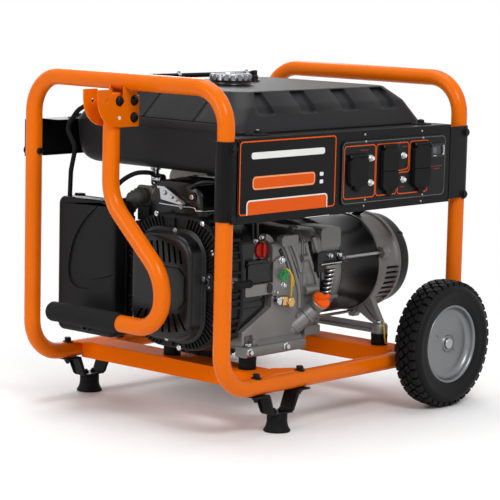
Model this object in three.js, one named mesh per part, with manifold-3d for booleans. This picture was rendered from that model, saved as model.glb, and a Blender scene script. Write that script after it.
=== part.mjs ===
// Portable generator: open tube frame, petrol engine, alternator, fuel tank, control panel, folding handle.
// Millimetres. X runs along the control panel, with the handle at -X and the wheels at +X.
// The control panel faces -Y, +Z is up, and the ground is at Z = 0.

import * as THREE from 'three';
import { mergeVertices } from 'three/addons/utils/BufferGeometryUtils.js';
import { ConvexGeometry } from 'three/addons/geometries/ConvexGeometry.js';
import Module from 'manifold-3d';

const wasm = await Module();
wasm.setup();

// Driving dimensions

const seatGap = 0.3;
const runningGap = 0.3;
const overrun = 6;
const overlapIn = 1;
const sheet = 2;

// How many flats stand for a round, by its size
const sides = { small: 6, coarse: 8, tube: 10, medium: 12, round: 16, fine: 24 };
const hex = 6;
const heelSteps = 6;
const arcSteps = 3;
const tankArcSteps = 2;
const bendSteps = 4;
const hoseSteps = 3;

const frame = { tube: 31.75, wall: 2, bend: 70, leg: 80, length: 678, width: 498, railZ: 90, topZ: 631 };
const tubeRadius = frame.tube / 2;
const nearX = -frame.length / 2;
const farX = frame.length / 2;
const frontY = -frame.width / 2;
const rearY = frame.width / 2;
const railTop = frame.railZ + tubeRadius;
const railBottom = frame.railZ - tubeRadius;

// Places measured in from the frame's end and side tubes
const inset = { wheel: 109, foot: 154, panelNear: 8, panelFar: 49, tankEnd: 67, tankSide: 32 };
const wheelReach = 60;
const recoilX = -325;

const crossbar = { nearX: -190, farX: 198, width: 64, height: 32, wall: 2.5, endGap: 8 };

const bolt = { radius: 4, headRadius: 7, headHeight: 5 };
const boltHole = bolt.radius + seatGap;

const foot = {
  x: nearX + inset.foot, boltSpread: 60, flangeReach: 74, armTop: 38, armBase: 22, sheet: 3, width: 32,
  rubberHeight: 33, topRadius: 19, waistHeight: 16, rimRadius: 25, rimHeight: 3, studSpread: 9, studRadius: 3,
  studNutRadius: 6,
};

const wheel = {
  x: farX - inset.wheel, radius: 124, width: 58, centreY: frame.width / 2 + wheelReach, rimRadius: 90,
  lipInset: 1.5,
  dishMouth: 73, dishFloor: 60, dishDepth: 20, webThickness: 3, hubRadius: 16, hubProud: 5, axleRadius: 8,
  capRadius: 11, capThickness: 4, rimFlange: 6, shoulder: 10, knobHeight: 5, knobRows: 2, knobsRound: 10,
};

// The handle hangs clear of the hoop and of the recoil cover, and its parts lie below the hoop's top
const pivotOut = { hoop: 28.5, recoil: 42.5 };
const pivotX = Math.min(nearX - pivotOut.hoop, recoilX - pivotOut.recoil);
const drop = { pivot: 34, knee: 215, elbow: 343, grip: 441 };
const handle = {
  pivotX, pivotY: 9, pivotZ: frame.topZ - drop.pivot, topEnd: 14, kneeZ: frame.topZ - drop.knee,
  elbowY: -127, elbowZ: frame.topZ - drop.elbow, gripZ: frame.topZ - drop.grip,
  kneeBend: 85, gripBend: 58, gripStart: -22, gripEnd: 165, gripRadius: 18.8, gripCrown: 6,
};

// Reaches of the handle bracket: out from the pivot, either way from the hoop and down from the hoop's top
const bracketOut = { left: 53.5, step: 17.5, heel: 3.5, raisedHole: 30.5 };
const bracketSide = { right: 22, ear: 17, bolt: 9 };
const bracketDrop = { top: 13, step: 25, bottom: 82, ear: 7, bolt: 65 };
const bracket = {
  sheet: 3, sideGap: 1, left: pivotX - bracketOut.left, right: nearX + bracketSide.right,
  top: frame.topZ - bracketDrop.top, step: frame.topZ - bracketDrop.step,
  bottom: frame.topZ - bracketDrop.bottom, stepX: pivotX - bracketOut.step, heelX: pivotX - bracketOut.heel,
  earLeft: nearX - bracketSide.ear, earRight: nearX + bracketSide.ear, earTop: frame.topZ - bracketDrop.ear,
  boltX: nearX + bracketSide.bolt, boltLowZ: frame.topZ - bracketDrop.bolt,
  raisedHoleX: pivotX - bracketOut.raisedHole, holeRadius: 4,
};

const panel = {
  left: nearX + inset.panelNear, right: farX - inset.panelFar, bottom: 393, top: 545, depth: 62,
  sideInset: 12, wrapInset: 5, topFlange: 42, boltLowZ: 404, boltHighZ: 527,
};
const panelFace = frontY - tubeRadius - seatGap - sheet;

const plateInset = { right: 18, bottom: 14, top: 18 };
const plateLength = 317;
const outletPlate = {
  left: panel.right - plateInset.right - plateLength, right: panel.right - plateInset.right,
  bottom: panel.bottom + plateInset.bottom, top: panel.top - plateInset.top, corner: 12, thickness: 2.4,
};
const plateFace = panelFace - seatGap - outletPlate.thickness;

// Heights of the tank's seam over the panel, and of its creases and top over the seam
const tankRise = { seam: 3, nearCrease: 14, crease: 42.5, top: 69, channel: 29 };
const seamZ = panel.top + tankRise.seam;
const tank = {
  halfLength: frame.length / 2 - inset.tankEnd, halfWidth: frame.width / 2 - inset.tankSide, seamZ,
  nearCreaseZ: seamZ + tankRise.nearCrease, creaseZ: seamZ + tankRise.crease, topZ: seamZ + tankRise.top,
  creaseInsetX: 25, creaseInsetY: 24, topInsetX: 54, topInsetY: 53, nearTopInset: 67, corner: 30,
  wall: 3, lowerDepth: 82, bottomInset: 26, hipDepth: 66, hipInset: 8,
};
const channel = {
  count: 4, pitch: 118, width: 26, topInset: 54, bottomInset: 34, bottomZ: seamZ + tankRise.channel,
};
const ear = { inset: 34, width: 36, reach: 30 };

const cap = {
  x: -60, y: 0, neckRadius: 38, neckHeight: 7, boreRadius: 24, radius: 41, height: 15, ribs: 14, ribDepth: 1.2,
  plugDepth: 14, crown: 2, crownInset: 4,
};

const crank = {
  y: -80, z: 262, radius: 17, pinOffset: 32, pinRadius: 16, pinLength: 16, webRadius: 55, webThickness: 16,
};

// Building helpers

function solid(geometry) {
  const bare = geometry.clone();
  bare.deleteAttribute('normal');
  bare.deleteAttribute('uv');
  const merged = mergeVertices(bare);
  const points = new Float32Array(merged.attributes.position.array);
  const faces = new Uint32Array(merged.index.array);
  const made = new wasm.Manifold(new wasm.Mesh({ numProp: 3, vertProperties: points, triVerts: faces }));
  if (made.volume() > 0) return made;
  for (let i = 0; i < faces.length; i += 3) [faces[i], faces[i + 1]] = [faces[i + 1], faces[i]];
  return new wasm.Manifold(new wasm.Mesh({ numProp: 3, vertProperties: points, triVerts: faces }));
}

function join(...solids) {
  return solids.flat(Infinity).reduce((sum, next) => sum.add(next));
}

function cut(base, ...tools) {
  return tools.flat(Infinity).reduce((left, next) => left.subtract(next), base);
}

function addPiece(parent, name, finish, body) {
  const mesh = body.getMesh();
  const geometry = new THREE.BufferGeometry();
  geometry.setAttribute('position', new THREE.BufferAttribute(new Float32Array(mesh.vertProperties), 3));
  geometry.setIndex(new THREE.BufferAttribute(new Uint32Array(mesh.triVerts), 1));
  geometry.computeVertexNormals();
  const made = new THREE.Mesh(geometry, new THREE.MeshStandardMaterial(finish));
  made.name = name;
  parent.add(made);
  return made;
}

function block(x0, x1, y0, y1, z0, z1) {
  const made = new THREE.BoxGeometry(x1 - x0, y1 - y0, z1 - z0);
  return solid(made.translate((x0 + x1) / 2, (y0 + y1) / 2, (z0 + z1) / 2));
}

// A profile drawn in Y and Z, carried from x0 to x1
function prismX(shape, x0, x1, curveSegments = arcSteps) {
  const made = new THREE.ExtrudeGeometry(shape, { depth: x1 - x0, bevelEnabled: false, curveSegments });
  const turn = new THREE.Matrix4().makeBasis(
    new THREE.Vector3(0, 1, 0), new THREE.Vector3(0, 0, 1), new THREE.Vector3(1, 0, 0));
  return solid(made.applyMatrix4(turn).translate(x0, 0, 0));
}

// A profile drawn in X and Z, carried from y0 to y1
function prismY(shape, y0, y1, curveSegments = arcSteps) {
  const made = new THREE.ExtrudeGeometry(shape, { depth: y1 - y0, bevelEnabled: false, curveSegments });
  return solid(made.rotateX(Math.PI / 2).translate(0, y1, 0));
}

// A profile drawn in X and Y, carried from z0 to z1
function prismZ(shape, z0, z1, curveSegments = arcSteps) {
  const made = new THREE.ExtrudeGeometry(shape, { depth: z1 - z0, bevelEnabled: false, curveSegments });
  return solid(made.translate(0, 0, z0));
}

function polygon(points) {
  return new THREE.Shape(points.map(([a, b]) => new THREE.Vector2(a, b)));
}

function rectangle(a0, a1, b0, b1) {
  return polygon([[a0, b0], [a1, b0], [a1, b1], [a0, b1]]);
}

function roundedRectangle(a0, a1, b0, b1, radius) {
  const shape = new THREE.Shape();
  shape.moveTo(a0 + radius, b0);
  shape.lineTo(a1 - radius, b0);
  shape.absarc(a1 - radius, b0 + radius, radius, -Math.PI / 2, 0);
  shape.lineTo(a1, b1 - radius);
  shape.absarc(a1 - radius, b1 - radius, radius, 0, Math.PI / 2);
  shape.lineTo(a0 + radius, b1);
  shape.absarc(a0 + radius, b1 - radius, radius, Math.PI / 2, Math.PI);
  shape.lineTo(a0, b0 + radius);
  shape.absarc(a0 + radius, b0 + radius, radius, Math.PI, Math.PI * 1.5);
  return shape;
}

function circlePoints(radius, count, a = 0, b = 0) {
  return Array.from({ length: count }, (unused, i) => {
    const angle = (i + 0.5) * 2 * Math.PI / count;
    return new THREE.Vector2(a + radius * Math.cos(angle), b + radius * Math.sin(angle));
  });
}

function disc(radius, count, a = 0, b = 0) {
  return new THREE.Shape(circlePoints(radius, count, a, b));
}

function ringShape(outer, inner, outerCount, innerCount) {
  const shape = disc(outer, outerCount);
  shape.holes.push(new THREE.Path(circlePoints(inner, innerCount).reverse()));
  return shape;
}

function rodX(radius, x0, x1, y, z, count = sides.medium) {
  return prismX(disc(radius, count, y, z), x0, x1);
}

function rodY(radius, y0, y1, x, z, count = sides.medium) {
  return prismY(disc(radius, count, x, z), y0, y1);
}

function rodZ(radius, z0, z1, x, y, count = sides.medium) {
  return prismZ(disc(radius, count, x, y), z0, z1);
}

// Round holes, drawn wide enough that their flats clear what passes through
function flatsAt(radius, count) {
  return radius / Math.cos(Math.PI / count);
}

function holeX(radius, x0, x1, y, z, count = sides.medium) {
  return rodX(flatsAt(radius, count), x0, x1, y, z, count);
}

function holeY(radius, y0, y1, x, z, count = sides.medium) {
  return rodY(flatsAt(radius, count), y0, y1, x, z, count);
}

function holeZ(radius, z0, z1, x, y, count = sides.medium) {
  return rodZ(flatsAt(radius, count), z0, z1, x, y, count);
}

// A turned body: profile pairs are radius and height, standing on the local Z axis
function turned(profile, count = sides.medium) {
  const points = profile.map(([radius, height]) => new THREE.Vector2(radius, height));
  return solid(new THREE.LatheGeometry(points, count).rotateX(Math.PI / 2));
}

// A closed ring turned round the local Z axis, whose profile comes back to its start
function turnedRing(profile, count = sides.medium) {
  return turned([...profile, profile[0]], count);
}

// Straight runs joined by round bends, with a station only where the path turns
class BentPath extends THREE.Curve {
  constructor(corners, bends, steps) {
    super();
    this.stations = [];
    const points = corners.map((corner) => new THREE.Vector3(...corner));
    const last = points.length - 1;
    this.addStation(points[0], points[1].clone().sub(points[0]).normalize());
    for (let i = 1; i < last; i += 1) {
      const into = points[i].clone().sub(points[i - 1]).normalize();
      const out = points[i + 1].clone().sub(points[i]).normalize();
      this.addBend(points[i], into, out, bends[i - 1], steps);
    }
    this.addStation(points[last], points[last].clone().sub(points[last - 1]).normalize());
  }

  addStation(point, tangent) {
    this.stations.push({ point, tangent });
  }

  addBend(corner, into, out, radius, steps) {
    const angle = into.angleTo(out);
    const start = corner.clone().addScaledVector(into, -radius * Math.tan(angle / 2));
    const side = out.clone().addScaledVector(into, -into.dot(out)).normalize();
    for (let s = 0; s <= steps; s += 1) {
      const turn = angle * s / steps;
      const point = start.clone().addScaledVector(into, radius * Math.sin(turn));
      point.addScaledVector(side, radius * (1 - Math.cos(turn)));
      const tangent = into.clone().multiplyScalar(Math.cos(turn)).addScaledVector(side, Math.sin(turn));
      this.addStation(point, tangent);
    }
  }

  station(share) {
    return this.stations[Math.round(share * (this.stations.length - 1))];
  }

  getPointAt(share) {
    return this.station(share).point.clone();
  }

  getPoint(share) {
    return this.getPointAt(share);
  }

  getTangentAt(share, target = new THREE.Vector3()) {
    return target.copy(this.station(share).tangent);
  }
}

function sweep(shape, path) {
  const steps = path.stations.length - 1;
  return solid(new THREE.ExtrudeGeometry(shape, { steps, extrudePath: path }));
}

// Finishes seen in the photograph

const orangePaint = { color: 0xe8690b, roughness: 0.35, metalness: 0.1 };
const blackPaint = { color: 0x16171a, roughness: 0.45, metalness: 0.2 };
const darkPlastic = { color: 0x2b2c2f, roughness: 0.7, metalness: 0 };
const blackRubber = { color: 0x141414, roughness: 0.85, metalness: 0 };
const castGrey = { color: 0x77746f, roughness: 0.6, metalness: 0.5 };
const rimGrey = { color: 0x8a8b8c, roughness: 0.4, metalness: 0.6 };
const brightMetal = { color: 0xd0d2d4, roughness: 0.2, metalness: 1 };
const redPlastic = { color: 0xc8362a, roughness: 0.5, metalness: 0 };
const orangePlastic = { color: 0xf06a10, roughness: 0.5, metalness: 0 };
const steel = { color: 0x9a9c9e, roughness: 0.4, metalness: 0.9 };

const generator = new THREE.Group();

// Frame

const tubeSection = ringShape(tubeRadius, tubeRadius - frame.wall, sides.tube, sides.small);

// The middle of a hoop's tube; inward is the way that its legs run along the side rails
function hoopPath(x, inward) {
  const corners = [
    [x + inward * frame.leg, rearY, frame.railZ], [x, rearY, frame.railZ], [x, rearY, frame.topZ],
    [x, frontY, frame.topZ], [x, frontY, frame.railZ], [x + inward * frame.leg, frontY, frame.railZ]];
  const bends = corners.slice(2).map(() => frame.bend);
  return new BentPath(corners, bends, bendSteps);
}

function hoop(x, inward) {
  const tube = sweep(tubeSection, hoopPath(x, inward));
  const holes = [panel.boltLowZ, panel.boltHighZ].map((z) =>
    holeY(boltHole, frontY - tubeRadius - overrun, frontY + tubeRadius + overrun, x, z, sides.small));
  holes.push(holeY(boltHole, rearY - tubeRadius - overrun, rearY + tubeRadius + overrun, x, support.boltZ,
    sides.small));
  return cut(tube, holes);
}

const axlePlate = { thickness: 6, halfWidth: 22, above: 18 };

// A side rail with its welded axle plate and stub axle; side is -1 at the front and +1 at the rear
function sideRail(side) {
  const railY = side * frame.width / 2;
  const run = frame.length / 2 - frame.leg;
  const tube = prismX(tubeSection, -run, run).translate([0, railY, frame.railZ]);
  const holes = [-foot.boltSpread, foot.boltSpread].map((offset) =>
    holeZ(boltHole, railBottom - overrun, railTop + overrun, foot.x + offset, railY, sides.small));
  const skin = railY + side * (tubeRadius - frame.wall / 2);
  const plateOut = skin + side * axlePlate.thickness;
  const plateTop = wheel.radius + axlePlate.above;
  const plate = block(wheel.x - axlePlate.halfWidth, wheel.x + axlePlate.halfWidth,
    Math.min(skin, plateOut), Math.max(skin, plateOut), frame.railZ, plateTop);
  const hubOut = side * (wheel.centreY + wheel.width / 2 - wheel.dishDepth + wheel.hubProud);
  const capIn = hubOut + side * runningGap;
  const capOut = capIn + side * wheel.capThickness;
  const axle = rodY(wheel.axleRadius, Math.min(skin, capOut), Math.max(skin, capOut), wheel.x, wheel.radius);
  const pushNut = rodY(wheel.capRadius, Math.min(capIn, capOut), Math.max(capIn, capOut), wheel.x,
    wheel.radius);
  return join(cut(tube, holes), plate, axle, pushNut);
}

function crossbarAt(x) {
  const top = railTop;
  const bottom = railTop - crossbar.height;
  const half = crossbar.width / 2;
  const outer = block(x - half, x + half, frontY + crossbar.endGap, rearY - crossbar.endGap, bottom, top);
  const inner = block(x - half + crossbar.wall, x + half - crossbar.wall, frontY - overrun, rearY + overrun,
    bottom - overrun, top - crossbar.wall);
  const copes = [frontY, rearY].map((y) =>
    holeX(tubeRadius + seatGap, x - half - overrun, x + half + overrun, y, frame.railZ, sides.medium));
  const studHoles = mountYs.map((y) =>
    holeZ(mount.studRadius + seatGap, bottom, top + overrun, x, y, sides.small));
  const hoopRoom = disc(flatsAt(tubeRadius + seatGap, sides.medium), sides.medium);
  const hoopCopes = [hoopPath(nearX, 1), hoopPath(farX, -1)].map((path) => sweep(hoopRoom, path));
  return cut(outer, inner, copes, hoopCopes, studHoles);
}

// Feet

function footBracket(side) {
  const y = side * frame.width / 2;
  const half = foot.width / 2;
  const top = railBottom - seatGap;
  const base = foot.rubberHeight + seatGap;
  const strap = [-1, 1].flatMap((hand) => {
    const flangeX = [foot.x + hand * foot.armTop, foot.x + hand * foot.flangeReach].sort((a, b) => a - b);
    const flange = block(...flangeX, y - half, y + half, top - foot.sheet, top);
    const arm = polygon([
      [foot.x + hand * foot.armTop, top], [foot.x + hand * (foot.armTop + foot.sheet), top],
      [foot.x + hand * (foot.armBase + foot.sheet), base], [foot.x + hand * foot.armBase, base]]);
    const boltX = foot.x + hand * foot.boltSpread;
    const shank = rodZ(bolt.radius, top - foot.sheet - bolt.headHeight, railTop + seatGap + bolt.headHeight,
      boltX, y, sides.small);
    const head = rodZ(bolt.headRadius, railTop + seatGap, railTop + seatGap + bolt.headHeight, boltX, y, hex);
    const nut = rodZ(bolt.headRadius, top - foot.sheet - bolt.headHeight, top - overlapIn, boltX, y, hex);
    return [flange, prismY(arm, y - half, y + half), shank, head, nut];
  });
  const baseHalf = foot.armBase + foot.sheet;
  const plate = block(foot.x - baseHalf, foot.x + baseHalf, y - half, y + half, base, base + foot.sheet);
  const studHoles = [-foot.studSpread, foot.studSpread].map((offset) =>
    holeZ(foot.studRadius + seatGap, base - overrun, base + foot.sheet + overrun, foot.x + offset, y,
      sides.small));
  return cut(join(strap, plate), studHoles);
}

function rubberFoot(side) {
  const y = side * frame.width / 2;
  const profile = [
    [0, 0], [foot.rimRadius, 0], [foot.rimRadius, foot.rimHeight], [foot.topRadius, foot.waistHeight],
    [foot.topRadius, foot.rubberHeight], [0, foot.rubberHeight]];
  const rubber = turned(profile, sides.medium).translate([foot.x, y, 0]);
  const nutZ = foot.rubberHeight + seatGap + foot.sheet + seatGap;
  const nutHeight = bolt.headHeight;
  const studs = [-foot.studSpread, foot.studSpread].flatMap((offset) => [
    rodZ(foot.studRadius, foot.rubberHeight - overlapIn, nutZ + nutHeight, foot.x + offset, y, sides.small),
    rodZ(foot.studNutRadius, nutZ, nutZ + nutHeight, foot.x + offset, y, hex)]);
  return join(rubber, studs);
}

// Wheels, turned round the local Z axis, which points outboard

function rimBody() {
  const half = wheel.width / 2;
  const lip = half - wheel.lipInset;
  const floor = half - wheel.dishDepth;
  const hubIn = -half;
  const web = floor - wheel.webThickness;
  return turnedRing([
    [wheel.axleRadius + runningGap, hubIn], [wheel.hubRadius, hubIn], [wheel.hubRadius, web],
    [wheel.dishFloor, web], [wheel.rimRadius - wheel.rimFlange, -lip], [wheel.rimRadius, -lip],
    [wheel.rimRadius, lip],
    [wheel.dishMouth, lip], [wheel.dishFloor, floor], [wheel.hubRadius, floor],
    [wheel.hubRadius, floor + wheel.hubProud], [wheel.axleRadius + runningGap, floor + wheel.hubProud],
  ], sides.round);
}

function tyreBody() {
  const half = wheel.width / 2;
  const root = wheel.radius - wheel.knobHeight;
  const shoulder = wheel.shoulder;
  const bead = wheel.rimRadius + seatGap;
  const carcass = turnedRing([
    [bead, -half + wheel.lipInset], [root - shoulder, -half], [root, -half + shoulder],
    [root, half - shoulder], [root - shoulder, half], [bead, half - wheel.lipInset]], sides.round);
  const rowPitch = wheel.width / wheel.knobRows;
  const knobLength = Math.PI * wheel.radius / wheel.knobsRound / 2;
  const crown = Math.sqrt(wheel.radius ** 2 - (knobLength / 2) ** 2);
  const knobs = Array.from({ length: wheel.knobRows * wheel.knobsRound }, (unused, i) => {
    const row = i % wheel.knobRows;
    const middle = (row - (wheel.knobRows - 1) / 2) * rowPitch;
    const knob = new THREE.BoxGeometry(wheel.shoulder, knobLength, rowPitch - wheel.shoulder);
    knob.translate(crown - wheel.shoulder / 2, 0, middle);
    return solid(knob.rotateZ(i / wheel.knobRows * 2 * Math.PI / wheel.knobsRound));
  });
  return join(carcass, knobs);
}

function addWheel(label, side) {
  const group = new THREE.Group();
  group.position.set(wheel.x, side * wheel.centreY, wheel.radius);
  group.rotation.x = -side * Math.PI / 2;
  addPiece(group, `${label}_rim`, rimGrey, rimBody());
  addPiece(group, `${label}_tyre`, blackRubber, tyreBody());
  generator.add(group);
}

// Handle

const handlePlateIn = tubeRadius + bracket.sideGap;
const handlePlateOut = handlePlateIn + bracket.sheet;

function bracketPlate(inner, outer) {
  const shape = new THREE.Shape();
  shape.moveTo(bracket.left, bracket.top);
  shape.lineTo(bracket.stepX, bracket.top);
  shape.lineTo(bracket.stepX, bracket.step);
  shape.lineTo(bracket.right, bracket.step);
  shape.lineTo(bracket.right, bracket.bottom);
  shape.lineTo(bracket.heelX, bracket.bottom);
  shape.quadraticCurveTo(bracket.left, bracket.bottom, bracket.left, bracket.top);
  const plate = prismY(shape, inner, outer, heelSteps);
  const tab = block(bracket.earLeft, bracket.earRight, inner, outer, bracket.step - overlapIn, bracket.earTop);
  return join(plate, tab);
}

function handleBracket() {
  const y = handle.pivotY;
  const plates = [
    bracketPlate(y - handlePlateOut, y - handlePlateIn), bracketPlate(y + handlePlateIn, y + handlePlateOut)];
  const web = block(bracket.right - bracket.sheet, bracket.right, y - handlePlateIn, y + handlePlateIn,
    bracket.bottom, bracket.step);
  const bolts = [
    [bracket.boltX, handle.pivotZ], [bracket.boltX, bracket.boltLowZ], [handle.pivotX, handle.pivotZ],
  ].flatMap(([x, z]) => [
    rodY(bolt.radius, y - handlePlateOut - bolt.headHeight, y + handlePlateOut + bolt.headHeight, x, z,
      sides.small),
    rodY(bolt.headRadius, y - handlePlateOut - bolt.headHeight, y - handlePlateOut, x, z, sides.coarse),
    rodY(bolt.headRadius, y + handlePlateOut, y + handlePlateOut + bolt.headHeight, x, z, hex)]);
  const holes = [[handle.pivotX, bracket.boltLowZ], [bracket.raisedHoleX, handle.pivotZ]].map(([x, z]) =>
    holeY(bracket.holeRadius, y - handlePlateOut - overrun, y + handlePlateOut + overrun, x, z, sides.coarse));
  const rail = holeY(tubeRadius + seatGap, frontY, rearY, nearX, frame.topZ, sides.medium);
  return cut(join(plates, web, bolts), holes, rail);
}

function handleTube() {
  const x = handle.pivotX;
  const corners = [
    [x, handle.pivotY, handle.pivotZ + handle.topEnd], [x, handle.pivotY, handle.kneeZ],
    [x, handle.elbowY, handle.elbowZ], [x, handle.elbowY, handle.gripZ],
    [x, handle.gripEnd - handle.gripCrown, handle.gripZ]];
  const bends = [handle.kneeBend, handle.kneeBend, handle.gripBend];
  const tube = sweep(tubeSection, new BentPath(corners, bends, bendSteps));
  const pivotHole = holeY(bolt.radius + runningGap, handle.pivotY - tubeRadius - overrun,
    handle.pivotY + tubeRadius + overrun, x, handle.pivotZ, sides.small);
  return cut(tube, pivotHole);
}

function handleGrip() {
  const bore = flatsAt(tubeRadius + seatGap, sides.medium);
  const length = handle.gripEnd - handle.gripStart;
  const crown = handle.gripCrown;
  const grip = turned([
    [bore, 0], [handle.gripRadius, 0], [handle.gripRadius, length - crown],
    [handle.gripRadius - crown, length], [0, length], [0, length - crown + seatGap],
    [bore, length - crown + seatGap], [bore, 0]], sides.medium);
  return grip.rotate([-90, 0, 0]).translate([handle.pivotX, handle.gripStart, handle.gripZ]);
}

// Control panel

function wrapAt(x, outboard) {
  const low = panel.bottom + panel.wrapInset;
  const high = panel.top - panel.wrapInset;
  const outer = tubeRadius + seatGap + sheet;
  const sleeve = cut(rodZ(outer, low, high, x, frontY, sides.medium),
    holeZ(tubeRadius + seatGap, low - overrun, high + overrun, x, frontY, sides.medium),
    block(Math.min(x, x - outboard * outer * 2), Math.max(x, x - outboard * outer * 2),
      frontY - outer * 2, frontY + outer * 2, low - overrun, high + overrun));
  const inner = outboard < 0 ? panel.left : panel.right;
  const strap = block(Math.min(x, inner), Math.max(x, inner), panelFace, panelFace + sheet, low, high);
  return join(sleeve, strap);
}

function panelBolt(x, z, y, side) {
  const out = y + side * (tubeRadius + seatGap + sheet);
  const root = out - side * overlapIn;
  const head = out + side * bolt.headHeight;
  const back = y - side * (tubeRadius + seatGap);
  const nut = back - side * bolt.headHeight;
  return [
    rodY(bolt.radius, Math.min(head, nut), Math.max(head, nut), x, z, sides.small),
    rodY(bolt.headRadius, Math.min(root, head), Math.max(root, head), x, z, sides.coarse),
    rodY(bolt.headRadius, Math.min(back, nut), Math.max(back, nut), x, z, hex)];
}

function controlPanel() {
  const face = block(panel.left, panel.right, panelFace, panelFace + sheet, panel.bottom, panel.top);
  const left = panel.left + panel.sideInset;
  const back = panelFace + panel.depth;
  const walls = [
    block(left, left + sheet, panelFace, back, panel.bottom, panel.top),
    block(panel.right - sheet, panel.right, panelFace, back, panel.bottom, panel.top),
    block(left, panel.right, panelFace, back, panel.bottom, panel.bottom + sheet),
    block(left, panel.right, panelFace, panelFace + panel.topFlange, panel.top - sheet, panel.top)];
  const window = block(lockingOutlet.x - lockingOutlet.width / 2, meter.x + meter.width / 2,
    panelFace - overrun, panelFace + sheet + overrun, leftOutlet.z - leftOutlet.height / 2,
    meter.z + meter.height / 2);
  const tubeRoom = holeZ(tubeRadius + seatGap, panel.bottom - overrun, panel.top + overrun, nearX, frontY,
    sides.medium);
  const bolts = [nearX, farX].flatMap((x) => [panel.boltLowZ, panel.boltHighZ].flatMap((z) =>
    panelBolt(x, z, frontY, -1)));
  const shell = cut(join(face, walls, wrapAt(nearX, -1), wrapAt(farX, 1)), window, tubeRoom);
  return join(shell, bolts);
}

// Outlets, breakers and hour meter, each placed by its middle in X and Z

const outletInset = { locking: 274, left: 180, right: 82, rise: 56 };
const outletZ = outletPlate.bottom + outletInset.rise;
const locking = { width: 54, height: 64 };
const duplex = { leftWidth: 47, rightWidth: 50, height: 92 };
const outlets = [
  { name: 'locking_outlet_cover', x: outletPlate.right - outletInset.locking, z: outletZ,
    width: locking.width, height: locking.height },
  { name: 'left_duplex_cover', x: outletPlate.right - outletInset.left, z: outletZ,
    width: duplex.leftWidth, height: duplex.height },
  { name: 'right_duplex_cover', x: outletPlate.right - outletInset.right, z: outletZ,
    width: duplex.rightWidth, height: duplex.height }];
const receptacle = {
  depth: 30, margin: 10, slotWidth: 2.5, slotHeight: 8, slotGap: 6, slotDepth: 12, pin: 2.4,
};
const coverSize = { thickness: 6, gap: 2, tip: 12, tipHalf: 9, barrel: 3.2, pin: 1.4, lug: 4, corner: 7 };
const breaker = { radius: 4.5, bush: 7, bushProud: 3, proud: 5, depth: 14, travel: 3 };
const breakerBeside = { gap: 53, fromLocking: 41, above: 29, below: 17 };
const [lockingOutlet, leftOutlet, rightOutlet] = outlets;
const breakerXs = [lockingOutlet.x + breakerBeside.fromLocking, rightOutlet.x - breakerBeside.gap];
const breakers = breakerXs.flatMap((x) => [
  [x, outletZ + breakerBeside.above], [x, outletZ - breakerBeside.below]]);
const meterInset = { right: 29, top: 30 };
const meter = {
  x: outletPlate.right - meterInset.right, z: outletPlate.top - meterInset.top, width: 44, height: 27,
  bezel: 2, proud: 3, depth: 20,
};
const hingeZ = (outlet) => outlet.z + outlet.height / 2 + coverSize.barrel;
const hingeY = plateFace - coverSize.gap - coverSize.barrel;

// Two blades and an earth pin, cut into a receptacle's face
function socketSlots(x, z, face) {
  const deep = face + receptacle.slotDepth;
  const front = face - overrun;
  const blades = [-1, 1].map((hand) => {
    const middle = x + hand * receptacle.slotGap;
    return block(middle - receptacle.slotWidth / 2, middle + receptacle.slotWidth / 2, front, deep,
      z, z + receptacle.slotHeight);
  });
  return [...blades, rodY(receptacle.pin, front, deep, x, z - receptacle.slotHeight, sides.small)];
}

function outletBody(outlet) {
  const halfWidth = outlet.width / 2 - receptacle.margin;
  const halfHeight = outlet.height / 2 - receptacle.margin;
  return block(outlet.x - halfWidth, outlet.x + halfWidth, plateFace - overlapIn, plateFace + receptacle.depth,
    outlet.z - halfHeight, outlet.z + halfHeight);
}

// One socket in the locking outlet, two in a duplex
function outletSlots(outlet, index) {
  const halfHeight = outlet.height / 2 - receptacle.margin;
  const middles = index === 0 ? [outlet.z] : [outlet.z - halfHeight / 2, outlet.z + halfHeight / 2];
  return middles.map((z) => socketSlots(outlet.x, z, plateFace - overlapIn));
}

function hingeLugs(outlet) {
  const z = hingeZ(outlet);
  const reach = outlet.width / 2;
  const pin = rodX(coverSize.pin, outlet.x - reach, outlet.x + reach, hingeY, z, sides.small);
  const lugs = [-1, 1].map((hand) => {
    const x = [outlet.x + hand * (reach - coverSize.lug), outlet.x + hand * reach].sort((a, b) => a - b);
    return block(...x, hingeY - coverSize.barrel, plateFace + overlapIn, z - coverSize.barrel,
      z + coverSize.barrel);
  });
  return [pin, ...lugs];
}

function outletPlateBody() {
  const shape = roundedRectangle(outletPlate.left, outletPlate.right, outletPlate.bottom, outletPlate.top,
    outletPlate.corner);
  const plate = prismY(shape, plateFace, plateFace + outletPlate.thickness);
  const bushes = breakers.map(([x, z]) =>
    rodY(breaker.bush, plateFace - breaker.bushProud, plateFace + breaker.depth, x, z, sides.small));
  const bushHoles = breakers.map(([x, z]) => holeY(breaker.radius + runningGap,
    plateFace - breaker.bushProud - overrun, plateFace + breaker.depth - sheet, x, z, sides.coarse));
  const inset = meter.bezel - seatGap;
  const meterHole = block(meter.x - meter.width / 2 + inset, meter.x + meter.width / 2 - inset,
    plateFace - overrun, plateFace + overrun, meter.z - meter.height / 2 + inset,
    meter.z + meter.height / 2 - inset);
  const carrier = cut(join(plate, bushes), bushHoles, meterHole);
  return cut(join(carrier, outlets.map(outletBody), outlets.map(hingeLugs)), outlets.map(outletSlots));
}

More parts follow.
